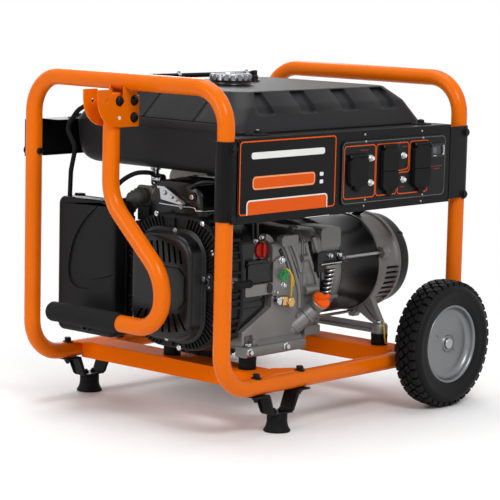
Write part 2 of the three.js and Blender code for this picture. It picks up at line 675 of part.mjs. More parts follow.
function outletCover(outlet) {
  const z = hingeZ(outlet);
  const bottom = outlet.z - outlet.height / 2 + coverSize.tip;
  const top = z - coverSize.barrel * 2;
  const half = outlet.width / 2;
  const corner = coverSize.corner;
  const shape = polygon([
    [outlet.x - half + corner, bottom], [outlet.x - coverSize.tipHalf, bottom],
    [outlet.x, bottom - coverSize.tip], [outlet.x + coverSize.tipHalf, bottom],
    [outlet.x + half - corner, bottom], [outlet.x + half, bottom + corner],
    [outlet.x + half, top], [outlet.x - half, top],
    [outlet.x - half, bottom + corner]]);
  const outer = hingeY - coverSize.barrel;
  const inner = outer + coverSize.thickness;
  const flap = prismY(shape, outer, inner);
  const knuckle = half - coverSize.lug - seatGap;
  const barrel = rodX(coverSize.barrel, outlet.x - knuckle, outlet.x + knuckle, hingeY, z, sides.coarse);
  const bridge = block(outlet.x - knuckle, outlet.x + knuckle, outer, hingeY, top - overlapIn, z);
  const bore = holeX(coverSize.pin + runningGap, outlet.x - half, outlet.x + half, hingeY, z, sides.coarse);
  return cut(join(flap, barrel, bridge), bore);
}

function breakerButton([x, z]) {
  return rodY(breaker.radius, plateFace - breaker.bushProud - breaker.proud,
    plateFace + breaker.depth - sheet - breaker.travel - runningGap, x, z, sides.coarse);
}

function hourMeter() {
  const halfWidth = meter.width / 2;
  const halfHeight = meter.height / 2;
  const bezel = block(meter.x - halfWidth, meter.x + halfWidth, plateFace - seatGap - meter.proud,
    plateFace - seatGap, meter.z - halfHeight, meter.z + halfHeight);
  const body = block(meter.x - halfWidth + meter.bezel, meter.x + halfWidth - meter.bezel,
    plateFace - seatGap - overlapIn, plateFace + meter.depth, meter.z - halfHeight + meter.bezel,
    meter.z + halfHeight - meter.bezel);
  return join(bezel, body);
}

// Fuel tank

function hull(rings) {
  const points = rings.flatMap(({ z, x0, x1, y0, y1, radius }) => {
    const outline = roundedRectangle(x0, x1, y0, y1, radius).getPoints(tankArcSteps);
    return outline.map((point) => new THREE.Vector3(point.x, point.y, z));
  });
  return solid(new ConvexGeometry(points));
}

// One level of the tank, drawn in by different amounts at the near end, the far end and the sides
function level(z, nearInset, farInset, sideInset, wall) {
  const near = nearInset + wall;
  const far = farInset + wall;
  const side = sideInset + wall;
  return {
    z, x0: -tank.halfLength + near, x1: tank.halfLength - far, y0: -tank.halfWidth + side,
    y1: tank.halfWidth - side, radius: tank.corner - wall,
  };
}

function upperHull(wall, dropTop) {
  const slope = tank.creaseInsetX / (tank.creaseZ - tank.seamZ);
  const nearCreaseInset = slope * (tank.nearCreaseZ - tank.seamZ);
  const nearRise = (tank.creaseZ - tank.nearCreaseZ) / (tank.topZ - tank.nearCreaseZ);
  const nearAtCrease = nearCreaseInset + nearRise * (tank.nearTopInset - nearCreaseInset);
  return hull([
    level(tank.seamZ, 0, 0, 0, wall),
    level(tank.nearCreaseZ, nearCreaseInset, nearCreaseInset, nearCreaseInset, wall),
    level(tank.creaseZ, nearAtCrease, tank.creaseInsetX, tank.creaseInsetY, wall),
    level(tank.topZ - dropTop, tank.nearTopInset, tank.topInsetX, tank.topInsetY, wall)]);
}

// Upright channels along a long side; wall widens them where they push into the hollow
function channels(side, wall) {
  const profile = (reach) => polygon([
    [side * (tank.halfWidth - channel.topInset - reach), tank.topZ + overrun],
    [side * (tank.halfWidth - channel.bottomInset - reach), channel.bottomZ - wall],
    [side * (tank.halfWidth + overrun), channel.bottomZ - wall],
    [side * (tank.halfWidth + overrun), tank.topZ + overrun]]);
  return Array.from({ length: channel.count }, (unused, i) => {
    const x = (i - (channel.count - 1) / 2) * channel.pitch;
    const half = channel.width / 2 + wall;
    return prismX(profile(wall), x - half, x + half);
  });
}

function tankUpper() {
  const outer = cut(upperHull(0, 0), channels(-1, 0), channels(1, 0));
  const hollow = cut(upperHull(tank.wall, tank.wall), channels(-1, tank.wall), channels(1, tank.wall));
  const mouth = block(-tank.halfLength + tank.corner, tank.halfLength - tank.corner,
    -tank.halfWidth + tank.corner, tank.halfWidth - tank.corner, tank.seamZ - overrun, tank.seamZ + overlapIn);
  const neck = rodZ(cap.neckRadius, tank.topZ - overlapIn, tank.topZ + cap.neckHeight, cap.x, cap.y,
    sides.round);
  const bore = holeZ(cap.boreRadius, tank.topZ - tank.wall - overrun, tank.topZ + cap.neckHeight + overrun,
    cap.x, cap.y, sides.round);
  return cut(join(outer, neck), hollow, mouth, bore);
}

function tankLower() {
  const rim = tank.seamZ - seatGap;
  const ring = (z, inset, wall) => level(z, inset, inset, inset, wall);
  const outer = (wall, rise) => hull([
    ring(rim + rise, 0, wall), ring(tank.seamZ - tank.hipDepth, tank.hipInset, wall),
    ring(tank.seamZ - tank.lowerDepth + wall, tank.bottomInset, wall)]);
  const shell = cut(outer(0, 0), outer(tank.wall, overlapIn));
  const ears = [-1, 1].flatMap((side) => [-1, 1].map((hand) => {
    const x = hand * (tank.halfLength - ear.inset);
    const inner = side * (tank.halfWidth - tank.wall);
    const outerY = side * (tank.halfWidth + ear.reach);
    const tab = block(x - ear.width / 2, x + ear.width / 2, Math.min(inner, outerY), Math.max(inner, outerY),
      panel.top + seatGap, panel.top + seatGap + sheet);
    const boltY = side * (tank.halfWidth + ear.reach / 2);
    const head = rodZ(bolt.headRadius, panel.top + seatGap, panel.top + sheet + bolt.headHeight, x, boltY, hex);
    return join(tab, head);
  }));
  const floorZ = tank.seamZ - tank.lowerDepth;
  const valve = [
    rodZ(fuelValve.radius, floorZ - fuelValve.length, floorZ + tank.wall, fuelValve.x, fuelValve.y,
      sides.coarse),
    rodY(fuelValve.bossRadius, fuelValve.y - fuelValve.bossReach, fuelValve.y, fuelValve.x, fuelValve.z,
      sides.coarse)];
  return join(shell, ears, valve);
}

const valveInset = { end: 57, drop: 24 };
const fuelValve = {
  x: -tank.halfLength + valveInset.end, y: 45, z: tank.seamZ - tank.lowerDepth - valveInset.drop, radius: 9,
  length: 34, bossRadius: 10, bossReach: 14, knobLength: 26, knobWidth: 8, knobThickness: 7,
};

function fuelValveLever() {
  const y = fuelValve.y - fuelValve.bossReach - seatGap;
  const hub = rodY(fuelValve.bossRadius, y - fuelValve.knobThickness, y, fuelValve.x, fuelValve.z,
    sides.coarse);
  const arm = block(fuelValve.x - fuelValve.knobWidth / 2, fuelValve.x + fuelValve.knobWidth / 2,
    y - fuelValve.knobThickness, y, fuelValve.z - fuelValve.knobLength, fuelValve.z);
  return join(hub, arm);
}

function fuelCap() {
  const base = tank.topZ + cap.neckHeight + seatGap;
  const outline = Array.from({ length: cap.ribs * 2 }, (unused, i) => {
    const angle = i * Math.PI / cap.ribs;
    const radius = i % 2 ? cap.radius - cap.ribDepth : cap.radius;
    return new THREE.Vector2(cap.x + radius * Math.cos(angle), cap.y + radius * Math.sin(angle));
  });
  const ring = prismZ(new THREE.Shape(outline), base, base + cap.height - cap.crown);
  const crown = rodZ(cap.radius - cap.crownInset, base + cap.height - cap.crown * 2, base + cap.height,
    cap.x, cap.y, sides.round);
  const plug = rodZ(cap.boreRadius - runningGap, base - cap.plugDepth, base + overlapIn, cap.x, cap.y,
    sides.round);
  return join(ring, crown, plug);
}

const ventHose = {
  radius: 4.5, x: 75, y: 62, valveRadius: 8, valveHeight: 15, clampRadius: 6.5, clampWidth: 9, clampAway: 24,
  clampSide: 3, fall: 1, bends: [30, 30, 20, 20, 30],
  corners: [[-215, 96], [-292, 178, 566], [-303, 198, 532], [-303, 172, 496], [-303, 184, 450], [-303, 186]],
};

function ventHoseBody() {
  const hoseZ = tank.topZ + seatGap + ventHose.valveHeight;
  const boxTop = airBox.top + seatGap;
  const [shoulder, ...bent] = ventHose.corners;
  const [boxX, boxY] = bent.pop();
  const ends = [[ventHose.x, ventHose.y, hoseZ], [boxX, boxY, boxTop]];
  const route = [ends[0], [...shoulder, hoseZ - ventHose.fall], ...bent, ends[1]];
  const hose = sweep(disc(ventHose.radius, sides.small), new BentPath(route, ventHose.bends, hoseSteps));
  const valve = rodZ(ventHose.valveRadius, tank.topZ + seatGap, hoseZ + ventHose.radius, ventHose.x, ventHose.y,
    sides.coarse);
  const clampX = ventHose.x - ventHose.clampAway;
  const clamp = rodX(ventHose.clampRadius, clampX, clampX + ventHose.clampWidth,
    ventHose.y + ventHose.clampSide, hoseZ, sides.coarse);
  return join(hose, valve, clamp);
}

// Rear tank support: a folded sheet across both rear uprights

const support = { bottom: 474, flange: 50, boltZ: 486 };

function rearTankSupport() {
  const out = rearY + tubeRadius + seatGap;
  const outer = tubeRadius + seatGap + sheet;
  const face = block(nearX, farX, out, out + sheet, support.bottom, panel.top);
  const flange = block(nearX + frame.tube, farX - frame.tube, out + sheet - support.flange, out + sheet,
    panel.top - sheet, panel.top);
  const wraps = [[nearX, -1], [farX, 1]].map(([x, hand]) => cut(
    rodZ(outer, support.bottom, panel.top, x, rearY, sides.medium),
    holeZ(tubeRadius + seatGap, support.bottom - overrun, panel.top + overrun, x, rearY, sides.medium),
    block(Math.min(x, x - hand * outer * 2), Math.max(x, x - hand * outer * 2),
      rearY - outer * 2, rearY + outer * 2, support.bottom - overrun, panel.top + overrun)));
  const bolts = [nearX, farX].flatMap((x) => panelBolt(x, support.boltZ, rearY, 1));
  return join(face, flange, wraps, bolts);
}

// Rubber mounts, two under the engine and two under the alternator

const mount = {
  spread: 97, radius: 17, height: 22, studRadius: 4, nutRadius: 7, nutHeight: 5, nutRoom: 9, footThickness: 20,
};
const mountYs = [crank.y - mount.spread, crank.y + mount.spread];
const mountTop = railTop + seatGap + mount.height;
const engineFootZ = mountTop + seatGap;
const engineFootTop = engineFootZ + mount.footThickness;

function rubberMount(x, y, footTop) {
  const lowNutTop = railTop - crossbar.wall - seatGap;
  const rubber = rodZ(mount.radius, railTop + seatGap, mountTop, x, y, sides.medium);
  const stud = rodZ(mount.studRadius, lowNutTop - mount.nutHeight, footTop + seatGap + mount.nutHeight, x, y,
    sides.small);
  const lowNut = rodZ(mount.nutRadius, lowNutTop - mount.nutHeight, lowNutTop, x, y, hex);
  const highNut = rodZ(mount.nutRadius, footTop + seatGap, footTop + seatGap + mount.nutHeight, x, y, hex);
  return join(rubber, stud, lowNut, highNut);
}

// Engine

const crankcase = {
  x0: -208, x1: -42, halfWidth: 98, wall: 9, cavity: 67, top: 338, footHalf: 15, slantX: -128,
  recess: 18, nutRoom: 18, ribs: 4, ribPitch: 18, ribThickness: 4.5, ribReach: 4.5,
};
const cylinder = {
  x: -118, tilt: 35, deck: 112, half: 54, finTop: 172, headTop: 214, coverTop: 246, bore: 44, fins: 6,
  finThickness: 4, barrel: 50, root: 34, coverHalf: 42, coverFlange: 4, domeInset: 6, corner: 10,
  domeCorner: 15,
};

// Moves a body made on the local Z axis onto the cylinder's tilted axis
function alongCylinder(body) {
  return body.rotate([cylinder.tilt - 90, 0, 0]).translate([cylinder.x, crank.y, crank.z]);
}

function crankcaseBody() {
  const y0 = crank.y - crankcase.halfWidth;
  const y1 = crank.y + crankcase.halfWidth;
  const footY = (y) => [y - crankcase.footHalf, y + crankcase.footHalf];
  const core = block(crankcase.x0, crankcase.x1, y0, y1, engineFootTop - overlapIn, crankcase.top);
  const slant = prismY(polygon([
    [crankcase.x0 - overrun, engineFootTop + crankcase.footHalf],
    [crankcase.slantX, engineFootTop + crankcase.cavity],
    [crankcase.slantX, crankcase.top + overrun], [crankcase.x0 - overrun, crankcase.top + overrun]]),
  y0 - overrun, y0 + crankcase.recess);
  const feet = mountYs.map((y) => block(crankcase.x0, crankcase.x1, ...footY(y), engineFootZ, engineFootTop));
  const deckHalf = cylinder.half;
  const neck = alongCylinder(block(-deckHalf, deckHalf, -deckHalf, deckHalf, cylinder.root,
    cylinder.deck + overlapIn));
  const boreRoom = alongCylinder(rodZ(cylinder.bore, 0, cylinder.deck + overrun, 0, 0, sides.round));
  const finRoom = alongCylinder(block(-deckHalf - sheet, deckHalf + sheet, -deckHalf - sheet, deckHalf + sheet,
    cylinder.deck, cylinder.headTop));
  const cavity = rodX(crankcase.cavity, crankcase.x0 + crankcase.wall, crankcase.x1 + overrun, crank.y, crank.z,
    sides.round);
  const bearing = holeX(crank.radius + runningGap, crankcase.x0 - overrun, crankcase.x1, crank.y, crank.z);
  const studHoles = mountYs.map((y) => holeZ(mount.studRadius + seatGap, engineFootZ - overrun,
    engineFootTop + crankcase.nutRoom + overrun, crossbar.nearX, y, sides.small));
  const nutRooms = mountYs.map((y) => rodZ(mount.nutRoom, engineFootTop, engineFootTop + crankcase.nutRoom,
    crossbar.nearX, y, sides.coarse));
  const ribs = Array.from({ length: crankcase.ribs }, (unused, i) => {
    const x = crankcase.slantX + crankcase.ribPitch * (i + 1 / 2);
    return block(x, x + crankcase.ribThickness, y0 - crankcase.ribReach, y0 + overlapIn,
      engineFootTop + crankcase.wall, crankcase.top);
  });
  const drain = rodY(drainPlug.radius, y0 - drainPlug.reach, y0 + overlapIn, drainPlug.x, drainPlug.z, hex);
  const casting = join(cut(core, slant), feet, neck, ribs);
  return join(cut(casting, finRoom, cavity, boreRoom, bearing, studHoles, nutRooms), drain);
}

const drainPlug = { x: -88, z: 222, radius: 11, reach: 16 };

const coverCase = { x0: crankcase.x1 + seatGap, x1: 12, wall: 8, top: 352, corner: 30 };
const oilNeck = { x: -18, radius: 15, bore: 11, y: -172, z: 186, length: 42, buried: 46, boreDepth: 23 };
const neckTurn = [45, 0, 0];

function alongNeck(body) {
  return body.rotate(neckTurn).translate([oilNeck.x, oilNeck.y, oilNeck.z]);
}

function crankcaseCover() {
  const y0 = crank.y - crankcase.halfWidth;
  const y1 = crank.y + crankcase.halfWidth;
  const shape = roundedRectangle(y0, y1, engineFootTop, coverCase.top, coverCase.corner);
  const shell = prismX(shape, coverCase.x0, coverCase.x1);
  const hollow = rodX(crankcase.cavity - coverCase.wall, coverCase.x0 - overrun, coverCase.x1 - coverCase.wall,
    crank.y, crank.z, sides.round);
  const bearing = holeX(crank.radius + runningGap, coverCase.x0, coverCase.x1 + overrun, crank.y, crank.z);
  const neck = alongNeck(rodZ(oilNeck.radius, -oilNeck.buried, oilNeck.length, 0, 0));
  const neckBore = alongNeck(holeZ(oilNeck.bore, -oilNeck.boreDepth, oilNeck.length + overrun, 0, 0));
  return cut(join(cut(shell, hollow), neck), neckBore, bearing);
}

const dipstickSize = {
  radius: 18, height: 12, tab: 9, tabHalf: 16, tabThickness: 6, plug: 24, stick: 3, dip: 11.5,
};

function dipstickBody() {
  const base = oilNeck.length + seatGap;
  const top = base + dipstickSize.height;
  const head = rodZ(dipstickSize.radius, base, top, 0, 0, sides.medium);
  const tab = block(-dipstickSize.tabHalf, dipstickSize.tabHalf, -dipstickSize.tabThickness / 2,
    dipstickSize.tabThickness / 2, top - overlapIn, top + dipstickSize.tab);
  const plug = rodZ(oilNeck.bore - runningGap, base - dipstickSize.plug, base + overlapIn, 0, 0, sides.medium);
  const stick = rodZ(dipstickSize.stick, -dipstickSize.dip, base, 0, 0, sides.small);
  return alongNeck(join(head, tab, plug, stick));
}

function cylinderBody() {
  const base = cylinder.deck + seatGap;
  const barrel = rodZ(cylinder.barrel, base, cylinder.finTop, 0, 0, sides.medium);
  const half = cylinder.half;
  const square = rectangle(-half, half, -half, half);
  const pitch = (cylinder.finTop - base) / cylinder.fins;
  const fins = Array.from({ length: cylinder.fins }, (unused, i) =>
    prismZ(square, base + i * pitch, base + i * pitch + cylinder.finThickness));
  const head = prismZ(square, cylinder.finTop - overlapIn, cylinder.headTop);
  const bore = rodZ(cylinder.bore, base - overrun, cylinder.finTop, 0, 0, sides.round);
  return alongCylinder(cut(join(barrel, fins, head), bore));
}

function rockerCover() {
  const base = cylinder.headTop + seatGap;
  const half = cylinder.coverHalf;
  const flange = roundedRectangle(-half, half, -half, half, cylinder.corner);
  const domeHalf = half - cylinder.domeInset;
  const dome = roundedRectangle(-domeHalf, domeHalf, -domeHalf, domeHalf, cylinder.domeCorner);
  return alongCylinder(join(prismZ(flange, base, base + cylinder.coverFlange),
    prismZ(dome, base, cylinder.coverTop)));
}

// Blower housing and recoil starter

const blower = { x0: -288, x1: -213, halfWidth: 120, below: 120, above: 128, corner: 85, wall: 3, eye: 66 };
const cowl = { x0: -267, hollowX0: -246, x1: -150, y0: -128, y1: 12, top: 450, corner: 45 };
const pull = {
  x: -262, z: 276, length: 44, radius: 8, ropeRadius: 2.5, stub: 14, guideRadius: 10, collarRadius: 6,
  collar: 10,
};
const sideRib = { count: 9, pitch: 20, thickness: 9, reach: 5, low: 168, inset: 9 };

function blowerHousing() {
  const y0 = crank.y - blower.halfWidth;
  const y1 = crank.y + blower.halfWidth;
  const shape = roundedRectangle(y0, y1, crank.z - blower.below, crank.z + blower.above, blower.corner);
  const body = prismX(shape, blower.x0, blower.x1);
  const hoodFoot = crankcase.top + seatGap;
  const hood = prismX(roundedRectangle(cowl.y0, cowl.y1, hoodFoot, cowl.top, cowl.corner), cowl.x0, cowl.x1);
  const hoodHollow = prismX(roundedRectangle(cowl.y0 + blower.wall, cowl.y1 - blower.wall, hoodFoot - overrun,
    cowl.top - blower.wall, cowl.corner - blower.wall), cowl.hollowX0, cowl.x1 - blower.wall);
  const neckRoom = alongCylinder(block(-cylinder.half - sheet, cylinder.half + sheet, -cylinder.half - sheet,
    cylinder.half + sheet, 0, cylinder.coverTop));
  const inner = blower.wall;
  const hollowShape = roundedRectangle(y0 + inner, y1 - inner, crank.z - blower.below + inner,
    crank.z + blower.above - inner, blower.corner - inner);
  const hollow = prismX(hollowShape, blower.x0 + inner, blower.x1 + overrun);
  const eye = rodX(blower.eye, blower.x0 - overrun, blower.x0 + overrun, crank.y, crank.z, sides.round);
  const ribs = Array.from({ length: sideRib.count }, (unused, i) => {
    const z = sideRib.low + i * sideRib.pitch;
    const bulge = blower.halfWidth - blower.corner + Math.sqrt(Math.max(0,
      blower.corner ** 2 - Math.max(0, Math.abs(z - crank.z) - (blower.below - blower.corner)) ** 2));
    return block(blower.x0 + sideRib.inset, blower.x1, crank.y - bulge - sideRib.reach,
      crank.y - bulge + sideRib.reach, z - sideRib.thickness / 2, z + sideRib.thickness / 2);
  });
  const guide = rodY(pull.guideRadius, y0 - sideRib.reach, y0 + blower.wall, pull.x, pull.z, sides.coarse);
  const housing = cut(join(body, ribs, guide), hollow, eye);
  const hoodShell = cut(hood, hoodHollow, hollow, neckRoom);
  return cut(join(housing, hoodShell), hoodHollow);
}

const recoil = {
  x0: recoilX, halfWidth: 78, below: 98, above: 98, corner: 46, wall: 3, slots: 7, slotPitch: 12, slotWidth: 5,
  slotLow: 44, slotHigh: 84, rim: 8, rimDepth: 8,
};

function recoilCover() {
  const x1 = blower.x0 - seatGap;
  const outline = (inset) => roundedRectangle(crank.y - recoil.halfWidth + inset,
    crank.y + recoil.halfWidth - inset, crank.z - recoil.below + inset, crank.z + recoil.above - inset,
    recoil.corner - inset);
  const rim = prismX(outline(-recoil.rim), x1 - recoil.rimDepth, x1);
  const cup = prismX(outline(0), recoil.x0, x1);
  const hollow = prismX(outline(recoil.wall), recoil.x0 + recoil.wall, x1 + overrun);
  const slots = [-1, 1].flatMap((hand) => Array.from({ length: recoil.slots }, (unused, i) => {
    const y = crank.y + (i - (recoil.slots - 1) / 2) * recoil.slotPitch;
    const low = crank.z + hand * recoil.slotLow;
    const high = crank.z + hand * recoil.slotHigh;
    return block(recoil.x0 - overrun, recoil.x0 + recoil.wall + overrun, y - recoil.slotWidth / 2,
      y + recoil.slotWidth / 2, Math.min(low, high), Math.max(low, high));
  }));
  return cut(join(rim, cup), hollow, slots);
}

function recoilGrip() {
  const skin = crank.y - blower.halfWidth - sideRib.reach - seatGap;
  const y = skin - pull.stub - pull.radius;
  const bar = rodX(pull.radius, pull.x - pull.length / 2, pull.x + pull.length / 2, y, pull.z, sides.coarse);
  const rope = rodY(pull.ropeRadius, y, skin, pull.x, pull.z, sides.small);
  const collar = rodY(pull.collarRadius, y, y + pull.collar, pull.x, pull.z, sides.coarse);
  return join(bar, rope, collar);
}

// Turning parts

const flywheelSize = {
  x0: -278, x1: -236, radius: 98, rimDepth: 16, blades: 12, bladeThickness: 4, bladeIn: 46,
};

function flywheelBody() {
  const web = flywheelSize.x1 - flywheelSize.rimDepth;
  const plate = rodX(flywheelSize.radius, web, flywheelSize.x1, crank.y, crank.z, sides.fine);
  const blades = Array.from({ length: flywheelSize.blades }, (unused, i) => {
    const blade = block(flywheelSize.x0, web + overlapIn, -flywheelSize.bladeThickness / 2,
      flywheelSize.bladeThickness / 2, flywheelSize.bladeIn, flywheelSize.radius - flywheelSize.bladeThickness);
    return blade.rotate([i * 360 / flywheelSize.blades, 0, 0]).translate([0, crank.y, crank.z]);
  });
  const bore = holeX(crank.radius + seatGap, flywheelSize.x0 - overrun, flywheelSize.x1 + overrun, crank.y,
    crank.z);
  return cut(join(plate, blades), bore);
}

const shaftEnd = 40;

function crankshaftBody() {
  const main = rodX(crank.radius, flywheelSize.x0, shaftEnd, crank.y, crank.z, sides.medium);
  const half = crank.pinLength / 2 + crank.webThickness;
  const throwRoom = rodX(crank.webRadius, cylinder.x - crank.pinLength / 2, cylinder.x + crank.pinLength / 2,
    crank.y, crank.z);
  const webs = [-half, half - crank.webThickness].map((offset) => rodX(crank.webRadius, cylinder.x + offset,
    cylinder.x + offset + crank.webThickness, crank.y, crank.z, sides.round));
  const pin = rodX(crank.pinRadius, cylinder.x - half, cylinder.x + half, crank.y, crank.z + crank.pinOffset);
  return join(cut(join(main, webs), throwRoom), pin);
}

const alternator = {
  adapterEnd: 75, statorEnd: 192.7, bellEnd: 262, coverEnd: 300, radius: 97, statorRadius: 95, bore: 70,
  wall: 5,
  coverRadius: 91, coverCrown: 8, rodRadius: 3, rodCircle: 101, rodTilt: 16, bossRadius: 8, bossLength: 22,
};
const rotorSize = { radius: 68, x0: 84, x1: 184, shaftEnd: 246, shaftRadius: 13, poles: 4, slot: 10 };

function rotorBody() {
  const shaft = rodX(rotorSize.shaftRadius, shaftEnd + seatGap, rotorSize.shaftEnd, crank.y, crank.z);
  const core = rodX(rotorSize.radius, rotorSize.x0, rotorSize.x1, crank.y, crank.z, sides.fine);
  const slots = Array.from({ length: rotorSize.poles }, (unused, i) => block(rotorSize.x0 - overrun,
    rotorSize.x1 + overrun, -rotorSize.slot, rotorSize.slot, rotorSize.radius - rotorSize.slot,
    rotorSize.radius + overrun).rotate([i * 360 / rotorSize.poles, 0, 0]).translate([0, crank.y, crank.z]));
  return join(cut(core, slots), shaft);
}

function alternatorAdapter() {
  const x0 = coverCase.x1 + seatGap;
  const drum = rodX(alternator.radius, x0, alternator.adapterEnd, crank.y, crank.z, sides.fine);
  const shoulder = block(x0, alternator.adapterEnd - alternator.wall, crank.y - alternator.radius, crank.y,
    crank.z, coverCase.top);
  const hollow = rodX(alternator.bore, x0 + alternator.wall, alternator.adapterEnd + overrun, crank.y, crank.z,
    sides.round);
  const bore = holeX(crank.radius + runningGap, x0 - overrun, x0 + alternator.wall + overrun, crank.y, crank.z);
  const shelves = [springSeat.upperZ, springSeat.lowerZ].map((z) => block(spring.x - springSeat.reach / 2,
    spring.x + springSeat.reach / 2, crank.y - alternator.radius - springSeat.reach, crank.y - alternator.bore,
    z, z + springSeat.thickness));
  return cut(join(drum, shoulder, shelves), hollow, bore);
}

const springSeat = { reach: 18, upperZ: 276, lowerZ: 218, thickness: 6 };

function rodPlaces() {
  return [0, 1, 2, 3].map((i) => {
    const angle = (180 - alternator.rodTilt + 90 * i) * Math.PI / 180;
    return [crank.y + alternator.rodCircle * Math.cos(angle), crank.z + alternator.rodCircle * Math.sin(angle)];
  });
}

function statorBody() {
  const shape = ringShape(alternator.statorRadius, alternator.bore, sides.fine, sides.round);
  return prismX(shape, alternator.adapterEnd + seatGap, alternator.statorEnd).translate([0, crank.y, crank.z]);
}

const bellFoot = {
  x0: 184, x1: 212, overhang: 18, strut: 30, strutHalf: 60, slots: 6, slotHeight: 5, slotPitch: 11, nutRoom: 12,
};

function endBell() {
  const x0 = alternator.statorEnd + seatGap;
  const drum = rodX(alternator.radius, x0, alternator.bellEnd, crank.y, crank.z, sides.fine);
  const hollow = rodX(alternator.bore, x0 - overrun, alternator.bellEnd - alternator.wall, crank.y, crank.z,
    sides.round);
  const bearing = holeX(rotorSize.shaftRadius + runningGap, x0, alternator.bellEnd + overrun, crank.y, crank.z);
  const bosses = rodPlaces().flatMap(([y, z]) => [
    rodX(alternator.bossRadius, x0, x0 + alternator.bossLength, y, z, hex),
    rodX(alternator.rodRadius, alternator.adapterEnd + seatGap, x0 + overlapIn, y, z, sides.small)]);
  const beam = block(bellFoot.x0, bellFoot.x1, mountYs[0] - bellFoot.overhang, mountYs[1] + bellFoot.overhang,
    engineFootZ, engineFootTop);
  const strut = prismX(polygon([
    [mountYs[0], engineFootTop - overlapIn], [mountYs[1], engineFootTop - overlapIn],
    [crank.y + bellFoot.strutHalf, crank.z - alternator.radius + bellFoot.strut],
    [crank.y - bellFoot.strutHalf, crank.z - alternator.radius + bellFoot.strut]]), x0, bellFoot.x1);
  const studHoles = mountYs.map((y) => holeZ(mount.studRadius + seatGap, engineFootZ - overrun,
    engineFootTop + overrun, crossbar.farX, y, sides.small));
  const nutRooms = mountYs.map((y) => rodZ(mount.nutRoom, engineFootTop, engineFootTop + bellFoot.nutRoom,
    crossbar.farX, y, sides.coarse));
  const slots = Array.from({ length: bellFoot.slots }, (unused, i) => {
    const z = crank.z - (i + 1) * bellFoot.slotPitch;
    return block(alternator.bellEnd - bellFoot.strut, alternator.bellEnd - alternator.wall,
      crank.y - alternator.radius - overrun, crank.y - alternator.bore / 2, z, z + bellFoot.slotHeight);
  });
  return cut(join(cut(join(drum, strut), hollow), bosses, beam), bearing, slots, studHoles, nutRooms);
}

function endCover() {
  const x0 = alternator.bellEnd + seatGap;
  const length = alternator.coverEnd - x0;
  const cup = turned([
    [alternator.coverRadius - alternator.wall, 0], [alternator.coverRadius, 0],
    [alternator.coverRadius, length - alternator.coverCrown],
    [alternator.coverRadius - alternator.coverCrown, length], [0, length], [0, length - alternator.wall],
    [alternator.coverRadius - alternator.wall, length - alternator.wall],
    [alternator.coverRadius - alternator.wall, 0]], sides.fine);
  return cup.rotate([0, 90, 0]).translate([x0, crank.y, crank.z]);
}

// Exhaust and intake

const muffler = {
  x0: -34, x1: 150, y0: 74, y1: 190, z0: 344, z1: 450, corner: 28, wall: 2, pipe: 15, tail: 12,
  tailReach: 22,
};

function mufflerBody() {
  const shape = roundedRectangle(muffler.y0, muffler.y1, muffler.z0, muffler.z1, muffler.corner);
  const can = prismX(shape, muffler.x0, muffler.x1);
  const inset = muffler.wall;
  const hollow = prismX(roundedRectangle(muffler.y0 + inset, muffler.y1 - inset, muffler.z0 + inset,
    muffler.z1 - inset, muffler.corner - inset), muffler.x0 + inset, muffler.x1 - inset);
  const port = alongCylinder(rodX(muffler.pipe, cylinder.half + seatGap, muffler.x0 - cylinder.x + overrun, 0,
    (cylinder.finTop + cylinder.headTop) / 2, sides.medium));
  const tailEnd = muffler.x1 + muffler.tailReach;
  const tailY = muffler.y1 - muffler.corner;
  const tailZ = muffler.z0 + muffler.corner;
  const tail = rodX(muffler.tail, muffler.x1 - overlapIn, tailEnd, tailY, tailZ);
  const tailBore = rodX(muffler.tail - muffler.wall, muffler.x1 - overrun, tailEnd + overrun, tailY, tailZ);
  return cut(join(can, port, tail), hollow, tailBore);
}

const airBox = {
  frontX: -319, seamX: -284, backX: -262, y0: 47, y1: 202, bottom: 157, top: 403, corner: 14, wall: 3, lip: 4,
  knobZ: 166, knobY: 119, knobRadius: 13, knobBase: 6, knobDepth: 12, tabHalf: 11, tabThickness: 6,
};

function airBoxCover() {
  const outline = (inset) => roundedRectangle(airBox.y0 + inset, airBox.y1 - inset, airBox.bottom + inset,
    airBox.top - inset, airBox.corner);
  const outer = prismX(outline(0), airBox.frontX, airBox.seamX - seatGap);
  const hollow = prismX(outline(airBox.wall), airBox.frontX + airBox.wall, airBox.seamX + overrun);
  const hole = holeX(bolt.radius + runningGap, airBox.frontX - overrun, airBox.frontX + overrun, airBox.knobY,
    airBox.knobZ, sides.small);
  return cut(outer, hollow, hole);
}

function airBoxBase() {
  const outline = (inset) => roundedRectangle(airBox.y0 + inset, airBox.y1 - inset, airBox.bottom + inset,
    airBox.top - inset, airBox.corner);
  const outer = prismX(outline(airBox.lip), airBox.seamX, airBox.backX);
  const hollow = prismX(outline(airBox.lip + airBox.wall), airBox.seamX - overrun, airBox.backX - airBox.wall);
  const duct = rodX(elbow.radius - elbow.wall, airBox.backX - overrun, airBox.backX + overrun, elbow.y,
    elbow.z);
  return cut(outer, hollow, duct);
}

function airBoxKnob() {
  const face = airBox.frontX - seatGap;
  const hub = rodX(airBox.knobRadius, face - airBox.knobBase, face, airBox.knobY, airBox.knobZ);
  const wing = block(face - airBox.knobDepth, face - overlapIn, airBox.knobY - airBox.tabThickness / 2,
    airBox.knobY + airBox.tabThickness / 2, airBox.knobZ - airBox.tabHalf, airBox.knobZ + airBox.tabHalf);
  const screw = rodX(bolt.radius, face - overlapIn, airBox.seamX, airBox.knobY, airBox.knobZ, sides.small);
  return join(hub, wing, screw);
}

const elbow = { radius: 17, wall: 2, y: 92, z: 384, reach: 20, bend: 10 };
const carb = { x0: -222, x1: -180, y0: 44, y1: 88, z0: 388, z1: 428, bowlRadius: 18, bowlDepth: 22, riser: 6 };
const choke = { x: -206, length: 30, width: 8, thickness: 4, hub: 7, spigot: 5 };
const fuelHose = { radius: 4, reach: 12, bend: 6 };

